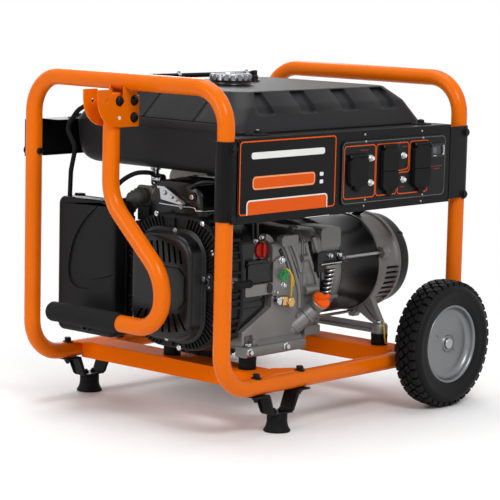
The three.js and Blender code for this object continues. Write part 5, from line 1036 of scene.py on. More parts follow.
def crankcase_front():
    """Casting ribs, switch seat, shields, screws, drain plug and the small leads."""
    y, shape = FACE_Y - 0.6, Shape()
    for rib in (((-104, 336), (-93, 324), (-77, 296), (-63, 266), (-52, 238), (-50, 206)),
                ((-84, 337), (-72, 324), (-56, 296), (-48, 274))):
        shape.wire(facing(y, *rib), 4.6, 14)
    shape.pad("Y", (-108, -62, 327, 347), 6, -184, -170)
    arc = [(-144 + r * cos(radians(a)), 322 + r * sin(radians(a)))
           for r, angles in ((31, range(-60, 81, 10)), (20, range(80, -61, -10))) for a in angles]
    shape.prisms("Y", (arc, -171, -159), (rounded(-206, -128, 241, 262, 4, 4), -183, -159),
                 ([(-206, 262), (-188, 262), (-196, 296), (-206, 300)], -172, -159),
                 ([(-128, 236), (-84, 233), (-80, 262), (-90, 296), (-112, 309), (-128, 300)], -181, -176))
    shape.rod("Y", 10, -184, -176, -141, 252)
    for x, z in ((-60, 170), (-52, 190), (-176, 154)):
        shape.rod("Y", 6.5, -182, -170, x, z, 20)
    shape.use(1)
    # Black strips beside the ribs are painted shade in the creases.
    for shade_line in (((-96, 334), (-86, 318), (-68, 288), (-56, 262)), ((-108, 322), (-98, 306), (-84, 278))):
        shape.wire(facing(y + 1.4, *shade_line), 4.4, 10)
    shape.prisms("Y", ([(-203, 264), (-132, 264), (-130, 292), (-146, 306), (-192, 306), (-204, 288)], -177, -159),
                 (rounded(-197, -142, 270, 300, 5, 4), -180, -176), (rounded(-148, -134, 243, 262, 6.8, 6), -186, -182),
                 ([(-208, 167), (-134, 215), (-134, 240), (-208, 240)], -166, -159),
                 ([(-208, 303), (-168, 303), (-162, 337), (-208, 337)], -165, -159))
    for z in (214, 226):
        shape.box(-204, z - 362, -168, -165, z, z + 3)
    shape.use(2)
    for x, z, r in ((-106, 302, 6), (-100, 254, 5), (-121, 243, 3.4), (-166, 350, 3.6), (-182, 345, 3.2)):
        shape.lathe("Y", [(r * 1.35, -181), (r * 1.35, -182.4), (r, -182.6), (r, -186.4), (r * 0.8, -187.4)], x, z, 6)
    shape.lathe("Y", [(9, -178), (9, -189), (7.6, -191), (3, -192)], -116, 227, 24)
    shape.use(3).lathe("Y", [(11, -177), (11, -191), (9.6, -194)], -88, 222, 6)
    shape.lathe("Y", [(10, -177), (10, -189), (9, -190)], -102, 225, 6)
    shape.use(4)
    for x, z, r in ((-110, 276, 6.5), (-101, 280, 5), (-104, 270, 6)):
        shape.tube([(x + r * cos(t), -188 + 2 * sin(2 * t), z + r * sin(t)) for t in turns(24)], 1.7, 8, closed=True)
    shape.use(5)
    for lead in (((-104, -187, 286), (-92, -189, 282), (-84, -188, 268), (-82, -187, 246), (-80, -184, 228),
                  (-70, -176, 214)), ((-98, -188, 286), (-88, -190, 276), (-78, -188, 262), (-74, -183, 250))):
        shape.wire(lead, 1.5, 8)
    make("crankcase_fittings", shape, [cast, gloss_plastic, chrome, brass, green, yellow], bevel=0.9)


def crankcase_cover():
    def lip(inset):
        return rounded(FACE_Y + inset, 18 - inset, 148.4, 352 - inset, 30, 10)

    plate = make("cover_plate", Shape().prism("X", lip(0), -41.7, 12), cast, bevel=2.6, segments=3,
                 replaces=("crankcase_cover",))
    cutter = Shape().rod("X", 59, -60, 4, CRANK_Y, CRANK_Z, 64)
    cutter.rod("X", 17.8, -60, 30, CRANK_Y, CRANK_Z, 32)
    carve(plate, cutter.rod("Z", 11.4, -23, 60, 0, 0, 32, NECK), bevel=0.4, segments=1)
    shape = Shape()
    for x0, x1 in ((-46.5, -42.3), (-41.4, -37)):
        shape.rings(shells(lip, (2, x0 - 0.1), (-1.8, x0 + 0.5), (-1.8, x1 - 0.5), (2, x1 + 0.1), (7, x1 - 0.6),
                           (7, x0 + 0.6)), closed=True)
    for y, z in ((-180, 172), (-180, 300), (-150, 352), (-60, 354), (8, 340), (20, 240), (20, 172)):
        shape.use(0).rod("X", 7, -48, -33, y, z, 22)
        shape.use(1).lathe("X", [(5.4, -33.2), (5.4, -29.4), (4.6, -28.6)], y, z, 6)
    shape.use(0)
    for rib in (((-36, 330), (-30, 312), (-14, 280), (-2, 254), (2, 236)), ((-14, 338), (-6, 318), (4, 292), (7, 270))):
        shape.wire(facing(FACE_Y - 0.6, *rib), 4.2, 14)
    shape.lathe("X", [(8, -40), (9, -38), (9, -8), (7.6, -4)], -182, 238, 24)
    shape.rod("X", 5, -6, 0, -182, 238, 20)
    # The near-black strip between the ribs is painted shade in the crease.
    shape.use(2).wire(facing(FACE_Y + 0.4, (-24, 330), (-18, 310), (-6, 284), (4, 258)), 4, 10)
    shape.use(0).pad("Y", (-34, 11, 150, 168), 4, -181, -170, 4)
    make("cover_details", shape, [cast, chrome, painted_shade], bevel=0.8)


def oil_neck():
    neck = Shape().lathe("Z", [(25, -46), (23.5, -26), (19.5, -10), (17, 0), (16, 8), (15.2, 12), (15.2, 34),
                               (16.4, 35.4), (16.4, 40), (15.4, 42), (11.9, 42), (11.4, 41), (11.4, -22), (0, -22)],
                         count=40, place=NECK)
    for side in BOTH:
        neck.box(side * 16 - 3, side * 16 + 3, -8, 10, -30, 18, NECK)
        neck.rod("Z", 5.5, -26, 4, side * 19, -9, 18, NECK)
        neck.lathe("Z", [(4.6, 4), (4.6, 7), (3.8, 7.6)], side * 19, -9, 6, place=NECK)
    start, end = Vector((-64, -163, 160)), Vector((-20, -187, 200))
    length = (end - start).length
    lean = Matrix.Translation(start) @ (end - start).to_track_quat("Z", "Y").to_matrix().to_4x4()
    neck.lathe("Z", [(15, -4), (17, 0), (18, 12), (17, 30), (16.4, 50), (16, length)], place=lean)
    for h in (10, 44):
        neck.lathe("Z", [(17.6, h), (18.8, h + 1), (18.8, h + 5), (17.6, h + 6)], place=lean)
    make("oil_neck", neck, cast, bevel=0.7)


def dipstick():
    """An orange cap with a wing, over a threaded plug and a rod."""
    shape = Shape().use(1).lathe("Z", [(17.4, 42.3), (18, 42.8), (18, 45.2), (17, 45.8), (10, 45.8), (10, 42.3)],
                                 count=40, closed=True, place=NECK)
    shape.use(0).lathe("Z", [(9, 42.4), (16.6, 44.6), (17, 45.6), (17, 51), (16, 53), (13, 54.3), (0, 54.3)], count=40,
                       place=NECK)
    for x, y in circle(17 * 0.99, 20):
        shape.rod("Z", 1.3, 46.4, 51.6, x, y, 8, NECK)
    for side in BOTH:
        wing = [(side * 1.5, 53), (side * 15, 53), (side * 16, 57), (side * 14, 62), (side * 9, 63.4), (side * 4, 60),
                (side * 1.5, 56)]
        shape.prism("Y", wing, -3.2, 3.2, NECK)
    shape.box(-5, 5, -3.2, 3.2, 52, 57.4, NECK)
    threads = [(10.1 + 0.5 * (i % 2), 20.6 + 1.5 * i) for i in range(14)]
    shape.use(2).lathe("Z", [(6, 18.3), (10.4, 19.6), *threads, (10.4, 42.4)], place=NECK)
    shape.use(3).lathe("Z", [(1.6, -11.5), (3, -10), (3, 20)], count=16, place=NECK)
    make("oil_dipstick_cap", shape, [orange_plastic, steel, plastic, steel], body="oil_dipstick", bevel=0.7,
         replaces=("dipstick",))


def engine_switch():
    x, z = -144, 322
    shape = Shape().lathe("Y", [(15, -160.3), (15, -164.4), (14.2, -165.8), (12, -166.3), (0, -166.3)], x, z, 40)
    for a, b in circle(15, 18, x, z):
        shape.rod("Y", 1.2, -165, -161, a, b, 8)
    shape.pad("Y", (x - 2.6, x + 2.6, z - 13, z + 13), 2.4, -172.3, -165.8, 4)
    make("switch_dial", shape, red, body="switch", bevel=0.6, replaces=("engine_switch",))


def cylinder():
    """The finned barrel and head along the cylinder's lean, and the plug with its lead."""
    shape = Shape().lathe("Z", [(50, 112.4), (50, 174)], count=64, place=TILT)
    fins = [((-54, 54) * 2, 14, 114 + i * 10, 3.6) for i in range(6)] + [((-50, 50) * 2, 14, 172, 42)]
    fins += [((-54, 54) * 2, 12, 177 + i * 10, 3.4) for i in range(4)]
    for area, radius, low, thick in fins:
        shape.pad("Z", area, radius, low, low + thick, 6, TILT)
    for x in (-40, 40):
        for y in (-40, 40):
            shape.rod("Z", 9, 170, 214, x, y, 20, TILT)
    make("cylinder_barrel", shape, cast_dark, bevel=0.8, replaces=("cylinder",))
    plug = TILT @ at(0, -48, 192, pi / 2)
    shape = Shape().lathe("Z", [(9, 0), (9, 8), (8, 9)], count=6, place=plug)
    shape.use(1).lathe("Z", [(6, 8), (6, 16), (5, 17), (5, 26)], count=20, place=plug)
    shape.use(2).lathe("Z", [(8, 20), (9, 21), (9, 33), (7, 35), (0, 35)], count=24, place=plug)
    shape.tube([plug @ Vector(p) for p in ((0, 0, 30), (-12, 0, 32), (-30, 4, 30), (-44, 10, 22))], 4, 14)
    make("spark_plug", shape, [steel, white_print, rubber], slot="rubber", bevel=0.4)


def rocker_cover():
    shape = Shape().pad("Z", (-42, 42, -42, 42), 10, 214.3, 218.4, 6, TILT)
    skin = skin_of((-36, 36, -36, 36), 15, 6, least=4)
    shape.rings([[(*p, height) for p in skin(inset)] for inset, height in (
        (0, 218), (0.4, 226), (2, 236), (5, 242), (10, 245.4), (14, 246))], place=TILT)
    for x in (-16, 0, 16):
        shape.prism("X", [(-20, 244), (20, 244), (18, 247), (-18, 247)], x - 2, x + 2, TILT)
    shape.use(1)
    for x in (-38, 38):
        for y in (-38, 38):
            shape.bolt("Z", 4, 218.4, 4, x, y, TILT)
    make("rocker_box", shape, [cast_dark, steel], bevel=0.8, replaces=("rocker_cover",))


# Blower housing, recoil starter, the shroud over the cylinder and the governor

def blower_housing():
    y0, _, z0, z1 = BLOWER
    r = BLOWER_CORNER
    skin = skin_of(BLOWER, r, 14)
    bearings = [atan2(z - CRANK_Z, y - CRANK_Y) for y, z in skin(0)]
    eye = [(CRANK_Y + 66 * cos(t), CRANK_Z + 66 * sin(t)) for t in bearings]
    wall = shells(skin, (9, -288), (5, -287.2), (2, -285), (0.4, -281.5), (0, -278), (0, -243), (-3.4, -242),
                  (-4, -240.5), (-4, -235.5), (-3, -234), (3, -234), (3, -282), (6, -285))
    shell = Shape().rings([around(eye, -288), *wall, around(eye, -285)], closed=True)
    make("blower_shell", shell, plastic, replaces=("blower_housing",))
    low, high = z0 + r, z1 - r
    stations = [(y0 + r + r * cos(t), low + r * sin(t), t) for t in map(radians, (214, 204, 194))]
    stations += [(y0, z, pi) for z in range(int(low) + 2, int(high), 13)]
    stations += [(y0 + r + r * cos(t), high + r * sin(t), t) for t in map(radians, range(172, 117, -9))]
    shape, side_rib = Shape(), [(-2, -3.6), (4.2, -2.7), (4.8, -1.5), (4.8, 1.5), (4.2, 2.7), (-2, 3.6)]
    for y, z, turn in stations:
        shape.prism("X", side_rib, -279, -244, at(0, y, z, turn))
    for y, z in ((-186, 176), (-186, 352), (28, 170), (28, 362)):
        shape.rod("X", 7, -279, -233, y, z, 20)
    edge = skin(4)
    for (ya, za), (yb, zb) in zip(edge, edge[1:] + edge[:1]):
        spots = [(ya, za), ((ya + yb) / 2, (za + zb) / 2)]
        for y, z in spots if hypot(yb - ya, zb - za) >= 12 else spots[:1]:
            shape.prism("Y", [(-287, -2), (-292, -1.6), (-292, 1.6), (-287, 2)], -30, -1,
                        at(0, y, z, atan2(z - CRANK_Z, y - CRANK_Y)))
    make("blower_ribs", shape, plastic, bevel=0.6)
    shield = Shape().rings(shells(skin, (15, -236), (15, -212), (18, -212), (18, -236)), closed=True)
    make("blower_shield", shield, gloss_plastic, bevel=0.8)


def rope_fittings():
    """The star-shaped guide that the rope leaves by, and the lobed guard on the housing's front."""
    star = [(ROPE_X + r * cos(t), ROPE_Z + r * 0.92 * sin(t)) for r, t in zip((14, 7.5) * 4, turns(8, pi / 4))]
    shape = Shape().plate("Y", star, [circle(4.4, 20, ROPE_X, ROPE_Z)], -204.9, -202)
    shape.lathe("Y", [(10, -204.9), (9.6, -205.1), (4.4, -205.1), (4.4, -198), (10, -198)], ROPE_X, ROPE_Z, 28,
                closed=True)
    make("rope_guide", shape, guide_grey, bevel=0.5)
    y, z = -168, 277
    lobes = [(y + r * cos(t), z + r * sin(t)) for r, t in ((15 + 2.6 * cos(3 * t), t) for t in turns(36))]
    shape = Shape().prism("X", lobes, -294, -287)
    shape.lathe("X", [(8, -293.6), (8, -297), (6.4, -298), (4, -298), (4, -294)], y, z, 28)
    shape.use(1)
    for turn in (0, 2.09, 4.19):
        shape.bolt("X", 2.6, -294, -2, y + 11 * cos(turn), z + 11 * sin(turn))
    make("rope_guard", shape, [guard_metal, steel], bevel=0.6)


def blower_screws():
    shape = Shape()
    for y, z in ((-148.5, 380), (-173.72, 330), (-181.48, 200), (-32.1, 388), (-96.12, 146)):
        shape.lathe("X", [(5.5, -288.4), (5.5, -289.6), (4, -290.4)], y, z, 20)
    make("blower_screws", shape, chrome)


def recoil_cover():
    y0, y1, z0, z1 = area = (CRANK_Y - 78, CRANK_Y + 78, CRANK_Z - 98, CRANK_Z + 98)
    skin = skin_of(area, 46, 12, ease=0.8)
    rings = shells(skin, (-8, -288.3), (-8, -293.6), (-7.2, -295.2), (-5.6, -296), (-3, -296), (-1.4, -296.8),
                   (-0.2, -299), (0.6, -314), (2, -319.4), (4.2, -322.8), (7.4, -324.6), (11.4, -325))
    cover = make("recoil_shell", Shape().rings(rings), satin, replaces=("recoil_cover",))
    carve(cover, Shape().rings(shells(skin, (3, -280), (3, -316), (6, -321), (9, -322.2))))
    cutter = Shape()
    for s in ((i - 3.5) / 3.5 for i in range(8)):
        middle, top, low = CRANK_Y + 50 * s, CRANK_Z + 84 - 13 * s * s, CRANK_Z + 46
        upper = [(middle - 5.4, low), (middle + 0.4, low), (middle + 5.4, top), (middle - 0.4, top)]
        near, far, foot = CRANK_Y + 46 * s, CRANK_Y + 56 * s * (1 + 0.16 * abs(s)), CRANK_Z - 84 + 10 * s * s
        lower = [(far - 3, foot), (far + 3, foot), (near + 2.6, CRANK_Z - 46), (near - 2.6, CRANK_Z - 46)]
        cutter.prisms("X", (upper, -330, -318), (lower, -330, -318))
    carve(cover, cutter, bevel=0.55, segments=1)
    centre = Shape().pad("X", (CRANK_Y - 62, CRANK_Y + 62, CRANK_Z - 38, CRANK_Z + 38), 15, -328.2, -324.6, 1)
    make("recoil_centre", centre, satin, bevel=1.0)
    # The pulley, seen only through the slots, takes the near-black painted shade.
    shape = Shape().rod("X", 60, -302, -300, CRANK_Y, CRANK_Z, 48)
    for turn in turns(10):
        shape.box(-306, -301, -2, 2, 20, 58, about_crank(turn))
    make("starter_pulley", shape, painted_shade, bevel=0.5)
    shape = Shape()
    for y, z in ((y0 - 3, CRANK_Z + 20), (y1 + 3, CRANK_Z + 20), (CRANK_Y + 8, z0 - 3), (CRANK_Y - 8, z1 + 3)):
        shape.lathe("X", [(5, -296.1), (5, -297.4), (4, -298.2)], y, z, 20)
    make("recoil_screws", shape, steel)


def starter():
    """The grip slides out on its joint; the rope is a fixed tube from the housing to the grip's place at rest."""
    x, y, z = ROPE_X, -227.3, ROPE_Z
    grip = [(5.4, -22), (7, -20.5), (8, -16), (7.3, -8), (6.8, 0), (7.3, 8), (8, 16), (7, 20.5), (5.4, 22)]
    shape = Shape().lathe("X", [(r, x + along) for r, along in grip], y, z, 28)
    shape.lathe("Y", [(6, y + 2), (6, y + 7), (4.6, y + 9), (4.2, y + 13)], x, z, 24)
    make("starter_handle", shape, rubber, body="starter_grip", bevel=0.3, replaces=("recoil_grip",))
    start, end, steps = y + 11, -196, 96
    rings = []
    for i in range(steps + 1):
        strands = [(2.3 + 0.25 * cos(3 * t + i * 0.34), t) for t in turns(16)]
        rings.append([(x + r * cos(t), start + (end - start) * i / steps, z + r * sin(t)) for r, t in strands])
    rope = make("starter_rope", Shape().rings(rings), rope_white, body=None)
    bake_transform(rope)


def cowl():
    y0, y1, z0, z1 = COWL

    def skin(inset, drop):
        return rounded(y0 + inset, y1 - inset, z0, z1 - inset - drop, (0, 0, 45, 45), 12)

    rings = shells(skin, (12, 3, -267), (6, 1.6, -266.2), (2, 0.4, -263), (0, 0, -258), (0, 0, -196),
                   (-1.6, -0.4, -195), (-1.6, -0.4, -190), (0, 0, -189), (0, 0, -156), (2, 0, -152), (5, 0, -150))
    hood = make("cylinder_shroud", Shape().rings(rings), gloss_plastic)
    carve(hood, Shape().box(-56, 56, -56, 56, 0, 246, TILT), bevel=0.6, segments=1)
    shape, bolts = Shape(), Shape()
    for x in range(-252, -207, 11):
        shape.pad("X", (y0 - 1.8, -70, z0 + 12, z1 - 14), (4, 0, 0, 42), x, x + 3.4, 10)
    for y, z in ((-69, 371), (-18, 368), (-104, 424)):
        shape.rod("X", 9, -269.5, -262, y, z)
        bolts.lathe("X", [(5.4, -269.4), (5.4, -272), (4, -273)], y, z, 6)
    make("shroud_ribs", shape, gloss_plastic, bevel=0.7)
    make("shroud_bolts", bolts, chrome, bevel=0.3)


def linkage():
    """The bright bracket, the rods and the cables in front of the shroud."""
    shape = Shape().prisms(
        "X", ([(-19, 438), (-38, 438), (-92, 411), (-70, 407), (-24, 413)], -270, -268.4),
        ([(-19, 438), (-38, 438), (-93, 411), (-90, 408), (-37, 434), (-21, 434)], -276, -268.4))
    for y, z in ((-52, 420), (-64, 416), (-34, 426)):
        shape.bolt("X", 4.6, -270, -3.4, y, z)
    rod = [(-273, -24, 405.5), (-273, -60, 404.6), (-273, -84, 404.4), (-273, -112, 404.8), (-273, -118, 399)]
    tail = [(-272, -118, 399.6), (-270, -126, 400), (-264, -130.6, 400), (-252, -131, 400), (-214, -131, 398)]
    shape.wire(rod, 1.5, 10, 5).wire(tail, 1.3, 10, 5)
    shape.bolt("Y", 3.4, -129.6, -3, -212, 398)
    shape.lathe("X", [(4.4, -276), (4.4, -270)], -82, 404.4, 20)
    shape.use(1).wire([(-271, -64, 384), (-271, -44, 388), (-270, -20, 372), (-269, -6, 356)], 2, 10)
    shape.wire([(-268, -96, 440), (-262, -120, 452), (-240, -150, 452), (-200, -172, 436), (-178, -178, 400),
                (-170, -176, 352), (-160, -172, 338)], 3.4, 14, 8)
    shape.wire([(-262, -110, 446), (-230, -146, 448), (-196, -170, 420), (-184, -176, 380), (-178, -172, 344)],
               2.4, 12, 8)
    make("governor_linkage", shape, [chrome, gloss_plastic], bevel=0.5)


# Adapter casting and alternator

def adapter():
    shape = Shape().lathe("X", [(22, 12.4), (92, 12.4), (95, 14), (97, 18), (97, 24), (95, 26), (94, 60), (96, 64),
                                (97, 66), (97, 74), (96, 75), (88, 75), (84, 66), (84, 24), (22, 20)],
                          CRANK_Y, CRANK_Z, 96, closed=True)
    make("adapter_drum", shape, cast, replaces=("alternator_adapter",), angle=radians(40))
    top = [(12.4, 312), (69.4, 312), (70, 318), (70, 342), (66, 350), (60, 352), (22, 352), (15, 350), (12.4, 344)]
    shape = Shape().prisms("Y", (top, -177, -96),
                           ([(12.4, 262), (56, 262), (66, 300), (69, 314), (12.4, 314)], -175, -96),
                           (rounded(18, 60, 282, 308, 3, 4), -177, -174),
                           ([(12.4, 214), (44, 214), (54, 262), (12.4, 264)], -170, -110))
    for low, high in ((218, 224), (276, 282)):
        shape.pad("Z", (12.4, 47, -195, -150), 4, low, high, 4)
    # The black plate in the slot behind the governor spring is painted shade.
    shape.use(1).prism("Y", [(12.4, 225), (44, 225), (52, 275), (12.4, 275)], -176.4, -169)
    shape.pad("Z", (-12, 76, -193, -176), 3, 284, 286.6, 4)
    shape.prisms("Y", (rounded(-12, 80, 284, 307, 3, 4), -181, -178), (rounded(-14, 4, 270, 307, 5, 4), -192, -178),
                 (rounded(56, 80, 286, 306, 8, 5), -184, -180))
    shape.use(2)
    for x, r in ((34, 4), (60, 4.4)):
        shape.lathe("Y", [(r * 1.4, -181), (r * 1.4, -182.6), (r, -182.8), (r, -187)], x, 298, 6)
    shape.box(-4, 56, -193.6, -192.6, 284.2, 286.4)
    make("adapter_details", shape, [cast, gloss_plastic, chrome], bevel=0.8)


def alternator():
    y, z = CRANK_Y, CRANK_Z
    stator = [(70, 75.4), (93, 75.4), (95, 76.2), (95, 80), (94.4, 81), (94.4, 187), (95, 188), (95, 191.8),
              (93, 192.6), (70, 192.6)]
    make("stator_shell", Shape().lathe("X", stator, y, z, 96, closed=True), stator_black, replaces=("stator",))
    drum = [(70, 193.2), (95.5, 193.2), (97, 194.4), (97, 199), (96, 200.4), (93.4, 203), (92.6, 206), (92.6, 246),
            (94, 249), (96, 251), (97, 252.4), (97, 260.6), (95.6, 262), (84, 262), (14, 262), (14, 256), (70, 256)]
    bell = make("bell_drum", Shape().lathe("X", drum, y, z, 96, closed=True), cast, replaces=("end_bell",),
                angle=radians(44))
    cutter = Shape()
    for near, far in ((y - 100, y - 60), (y + 60, y + 100)):
        for low in (z - 8 - i * 10.6 for i in range(7)):
            cutter.box(221, 254, near, far, low, low + 5)
    carve(bell, cutter, bevel=0.7)
    # The webs, seen through the bell's slots, take near-black painted shade in place of the alloy.
    shape = Shape()
    for turn in turns(18):
        shape.box(194, 261, -2.2, 2.2, 70, 88, about_crank(turn))
    make("bell_webs", shape, painted_shade, slot="cast_alloy")
    shape = Shape()
    for turn in turns(4, radians(164)):
        py, pz = y + THROUGH_ROD_RADIUS * cos(turn), z + THROUGH_ROD_RADIUS * sin(turn)
        shape.use(0).lathe("X", [(12, 193.2), (12, 209), (9.6, 213), (6, 215)], py, pz, 6)
        shape.lathe("X", [(8.4, 68), (8.4, 75), (7, 77)], py, pz, 20)
        shape.box(195, 209, 88, 99, -7, 7, about_crank(turn))
        shape.use(1).rod("X", 2.9, 73, 196, py, pz, 18)
        shape.lathe("X", [(5.4, 214), (5.4, 218.4), (4.4, 219.4)], py, pz, 6)
        shape.bolt("X", 6, 68.2, -4.6, py, pz)
    make("through_rods", shape, [cast, steel], bevel=0.5)


def bell_foot():
    """The casting's two legs, its beam and the round seats over the mounts."""
    y, z, shape = CRANK_Y, CRANK_Z, Shape()
    for side in BOTH:
        seat = y + side * 97
        inner = [(y + side * 30, z - 88), (seat - side * 20, FOOT_HIGH + 1), (seat - side * 4, FOOT_HIGH - 3),
                 (y + side * 52, z - 78)]
        outer = [(y + side * 58, z - 80), (seat - side * 2, FOOT_HIGH + 5), (seat + side * 9, FOOT_HIGH - 4),
                 (y + side * 74, z - 62)]
        web = [(y + side * 34, z - 92), (seat - side * 12, FOOT_HIGH - 2), (y + side * 70, z - 66)]
        shape.prisms("X", (inner, 194, 207), (outer, 194, 207), (web, 198, 203))
        shape.lathe("Z", [(15.4, FOOT_LOW), (16.4, FOOT_LOW + 1), (16.4, FOOT_HIGH - 4), (14, FOOT_HIGH),
                          (9, FOOT_HIGH)], MOUNT_XS[1], seat, 36)
    shape.box(188, 208, y - 97, y + 97, FOOT_LOW + 1, FOOT_LOW + 7)
    shape.box(196, 200, y - 92, y + 92, FOOT_LOW + 5, FOOT_HIGH - 2)
    make("bell_legs", shape, cast, bevel=1.4)


def end_cover():
    y, z = CRANK_Y, CRANK_Z
    cup = [(86, 262.4), (91, 262.4), (91, 288), (90.2, 293), (87.4, 297), (83, 299.4), (78, 300), (46, 300), (44, 299),
           (43, 297.4), (30, 297.4), (26, 299), (24, 299.6), (0, 299.6), (0, 295), (84, 295), (86, 290)]
    cover = make("rear_cup", Shape().lathe("X", cup, y, z, 96, closed=True), plastic, slot="black_paint",
                 replaces=("end_cover",))
    cutter = Shape()
    for turn in turns(20):
        cutter.box(293, 303, -2.4, 2.4, 52, 76, about_crank(turn))
    carve(cover, cutter, bevel=0.6, segments=1)
    shape = Shape()
    for t in turns(3, radians(20)):
        shape.bolt("X", 5, 299.6, 0.35, y + 83 * cos(t), z + 83 * sin(t))
        shape.lathe("X", [(5.6, 284), (5.6, 291)], y + 87 * cos(t), z + 87 * sin(t), 16)
    make("rear_cup_screws", shape, bolt_black, bevel=0.3)


def governor_spring():
    x, y, z0, z1, coils, steps, radius = 25, -186, 226, 274, 6, 168, 7.4
    points = []
    for s in (i / steps for i in range(steps + 1)):
        t = 2 * pi * coils * s
        points.append((x + 12 * (s - 0.5) + radius * cos(t), y + radius * sin(t), z0 + (z1 - z0) * s))
    make("governor_coil", Shape().tube(points, 2.1, 12), chrome, replaces=("governor_spring",))


# Muffler, air cleaner box, carburettor and fuel valve

def muffler():
    y1, z0, z1 = 190, 344, 450
    skin = skin_of((74, y1, z0, z1), 28, 10, ease=0.6)
    rings = shells(skin, (9, -34), (4, -32.6), (2, -29), (2, -8), (-0.6, -7), (-0.6, -3), (2, -2), (2, 116),
                   (-0.6, 117), (-0.6, 121), (2, 122), (2, 145), (4, 148.6), (9, 150))
    make("muffler_can", Shape().rings(rings), can_steel, replaces=("muffler",))
    tail = (y1 - 28, z0 + 28)
    shape = Shape().lathe("X", [(12, 149), (12, 172), (10, 172), (10, 149)], *tail, 28, closed=True)
    shape.lathe("X", [(15, 149.6), (15, 152), (12, 152.6)], *tail, 28)
    # A near-black plug inside the tail pipe is painted shade in its bore.
    shape.use(1).rod("X", 9.8, 150, 166, *tail)
    shape.use(0).rod("X", 15, 54.4, 92, 0, 193, 28, TILT)
    shape.pad("X", (-26, 26, 176, 210), 10, 54.4, 60, 8, TILT)
    make("exhaust_pipes", shape, [can_steel, painted_shade], bevel=0.5)
    holes = [rounded(x, x + 7, z, z + 10, 3, 3) for x in range(8, 105, 12) for z in range(z0 + 20, z0 + 75, 18)]
    guard = Shape().plate("Y", rounded(0, 122, z0 + 10, z1 - 10, 8, 8), holes, y1 + 0.6, y1 + 2.4)
    for x, z in ((8, z0 + 16), (114, z0 + 16), (8, z1 - 16), (114, z1 - 16)):
        guard.rod("Y", 3.6, y1 - 3, y1 + 4.6, x, z, 12)
    make("muffler_guard", guard, can_steel)


def air_box():
    y0, y1, z0, z1 = AIR_BOX
    rings = shells(skin_of(AIR_BOX, 14, 8, ease=0.4, least=4), (0, -284.4), (0, -286.4), (1.4, -287), (1.4, -289),
                   (0, -289.6), (0, -311), (0.6, -314), (2.2, -316.6), (4.8, -318.3), (8.5, -319))
    cover = make("air_box_lid", Shape().rings(rings), plastic, replaces=("air_box_cover",))
    outer = smooth(facing(0, (92, 394), (128, 364), (155, 327), (168, 290), (171, 262), (165, 243), (146, 232),
                          (112, 234), (76, 248), (48, 266)))
    inner = smooth(facing(0, (48, 268), (80, 258), (112, 252), (133, 259), (145, 279), (142, 310), (125, 348),
                          (92, 395)))
    crescent = [(p.x, p.z) for p in outer + inner[:-1]]
    carve(cover, Shape().prism("X", crescent, -324, -315.2), bevel=1.6, segments=3)
    rows = [(0, -284.2)]
    for x in (-280, -274, -268):
        rows += [(0, x - 1.4), (-2.4, x - 1), (-2.4, x + 1), (0, x + 1.4)]
    back = skin_of((y0 + 4, y1 - 4, z0 + 4, z1 - 4), 12, 8, ease=0)
    shape = Shape().rings(shells(back, *rows, (0, -264), (2, -262)))
    for z in (190, 250, 310, 370):
        for low, high in ((y0 + 1.2, y0 + 6), (y1 - 6, y1 - 1.2)):
            shape.box(-285.6, -263, low, high, z - 4, z + 4)
    make("air_box_back", shape, black_paint, slot="black_plastic", bevel=0.6, segments=1, replaces=("air_box_base",))
    face, y, z = -319.3, 119, 166
    knob_rim = [(13, face), (13.4, face - 1), (13.4, face - 4.6), (12.4, face - 6), (9, face - 6.4)]
    shape = Shape().lathe("X", knob_rim, y, z, 36)
    for a, b in circle(13.3, 24, y, z):
        shape.rod("X", 1.1, face - 5, face - 0.8, a, b, 8)
    shape.box(face - 12, face - 4, y - 3, y + 3, z - 11, z + 11)
    shape.rod("X", 3.6, -316, face, y, z, 16)
    make("air_box_wing", shape, gloss_plastic, body="box_knob", bevel=0.8, replaces=("air_box_knob",))
    shape = Shape()
    for y in (70, 180):
        for low, high in ((z1 - 3, z1 + 4), (z0 - 4, z0 + 3)):
            shape.pad("X", (y - 9, y + 9, low, high), 2.5, -288, -276, 4)
    make("air_box_clips", shape, plastic, bevel=0.5)


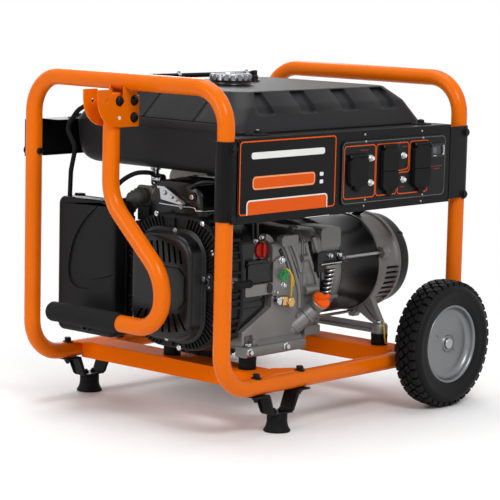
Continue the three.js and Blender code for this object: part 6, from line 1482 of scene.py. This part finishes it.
def carburettor():
    shape = Shape().pad("X", (48, 84, 391, 425), 8, -220, -182)
    for x in (-222, -184):
        shape.pad("X", (44, 88, 388, 428), 10, x, x + 4)
    shape.lathe("Z", [(16, 366), (18, 368), (18, 382), (20, 383), (20, 388), (15, 391)], -201, 66, 36)
    shape.lathe("Y", [(5, 43.7), (5, 50)], -206, 408, 16)
    shape.use(1).pad("X", (44, 88, 366, 428), 6, -180, -174, 4)
    shape.use(0).rod("X", 17, -180, -172.6, 78, 373, 28)
    shape.lathe("Y", [(10, 42), (10, 50)], -192, 402, 24)
    shape.use(2)
    for x, z in ((-214, 422), (-190, 420), (-214, 394), (-190, 392)):
        shape.lathe("Y", [(3.4, 48.4), (3.4, 45.6), (2.6, 44.8)], x, z, 6)
    make("carburettor_body", shape, [cast, plastic, chrome], bevel=0.9, replaces=("carburettor",))
    path = bent([(-222, 66, 408), (-242, 66, 408), (-242, 92, 384), (-261.7, 92, 384)], 10, 6)
    shape = Shape().tube(path, 15.4, 36)
    for before, now, after in list(zip(path, path[1:], path[2:]))[::2]:
        forward = (after - before).normalized()
        shape.tube([now - forward * 1.5, now + forward * 1.5], 17, 36)
    make("intake_elbow", shape, elbow_grey, bevel=0.8)
    shape = Shape().wire([(-204.7, 45, 442), (-201, 45.5, 438), (-201, 50, 432), (-201, 57, 427)], 4, 18, 8)
    shape.wire([(-226, 40, 450), (-246, 30, 456), (-260, 52, 454), (-266, 82, 438), (-270, 102, 416),
                (-272, 106, 398)], 4.4, 16, 8)
    shape.pad("Y", (-262, -232, 367, 393), 3, 14, 44, 4)
    make("fuel_hose", shape, rubber, bevel=0.6)
    shape = Shape().lathe("Y", [(7, 39.4), (7, 42.6), (6, 43.4)], -206, 408, 24)
    shape.pad("Y", (-208, -176, 404, 412), 3.8, 39.4, 42.4).pad("Y", (-184, -176, 401, 415), 3.6, 36.6, 42.4)
    make("choke_arm", shape, plastic, body="choke", bevel=0.6, replaces=("choke_lever",))


def fuel_valve():
    x, y, z = -215, 45, 442
    shape = Shape().lathe("Z", [(5, 430), (8, 432), (9, 434), (9, 450), (7.4, 452), (7.4, 458), (10, 459), (10, 470)],
                          x, y, 28)
    shape.lathe("Z", [(10.6, 459.2), (10.6, 465), (9.8, 465.6)], x, y, 6)
    shape.lathe("Y", [(10, 45), (10, 33), (9.2, 31), (6, 31)], x, z)
    shape.lathe("X", [(4, -215), (4, -205), (4.8, -204.6), (4.8, -203)], y, z, 18)
    make("fuel_tap", shape, chrome, bevel=0.6)
    shape = Shape().use(1).lathe("Y", [(10, 30.7), (10, 25.4), (9, 24.2), (7, 23.7), (6, 24.6), (6, 30.7)], x, z,
                                 closed=True)
    shape.use(0).lathe("Y", [(6.2, 30.6), (6.2, 25.2), (5.4, 24.6), (0, 24.6)], x, z, 24)
    shape.pad("Y", (-219, -211, 416, 444), 3.6, 24.4, 29)
    make("fuel_tap_lever", shape, [gloss_plastic, chrome], body="fuel_lever", bevel=0.5, replaces=("fuel_valve_lever",))


def leads():
    """The cable from the alternator to the panel and the earth strap on the mount."""
    shape = Shape().wire([(226, -80, 352), (226, -110, 372), (206, -150, 392), (190, -190, 402), (186, -232, 410),
                          (186, -252, 416)], 6, 18, 8)
    shape.use(1).wire([(196, -188, 152), (184, -200, 140), (184, -202, 124), (194, -196, 112), (204, -192, 108)],
                      1.4, 10, 8)
    make("generator_leads", shape, [rubber, yellow])


def inner_metal():
    """The carried-over pieces of the crank set only take a finish."""
    for name, look in (("flywheel", flywheel_iron), ("crankshaft", steel), ("rotor", copper)):
        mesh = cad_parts[name].data
        mesh.materials.clear()
        mesh.materials.append(look)


for build in (camera_and_stage, tube_frame, axles, crossbars, feet, wheels, lift_handle, handle_plates, control_panel,
              label, outlet_plate, sockets, breakers, hour_meter, outlet_flaps, tank, fuel_cap, vent_hose, rear_support,
              mounts, crankcase, crankcase_feet, crankcase_front, crankcase_cover, oil_neck, dipstick, engine_switch,
              cylinder, rocker_cover, blower_housing, rope_fittings, blower_screws, recoil_cover, starter, cowl,
              linkage, adapter, alternator, bell_foot, end_cover, governor_spring, muffler, air_box, carburettor,
              fuel_valve, leads, inner_metal):
    build()
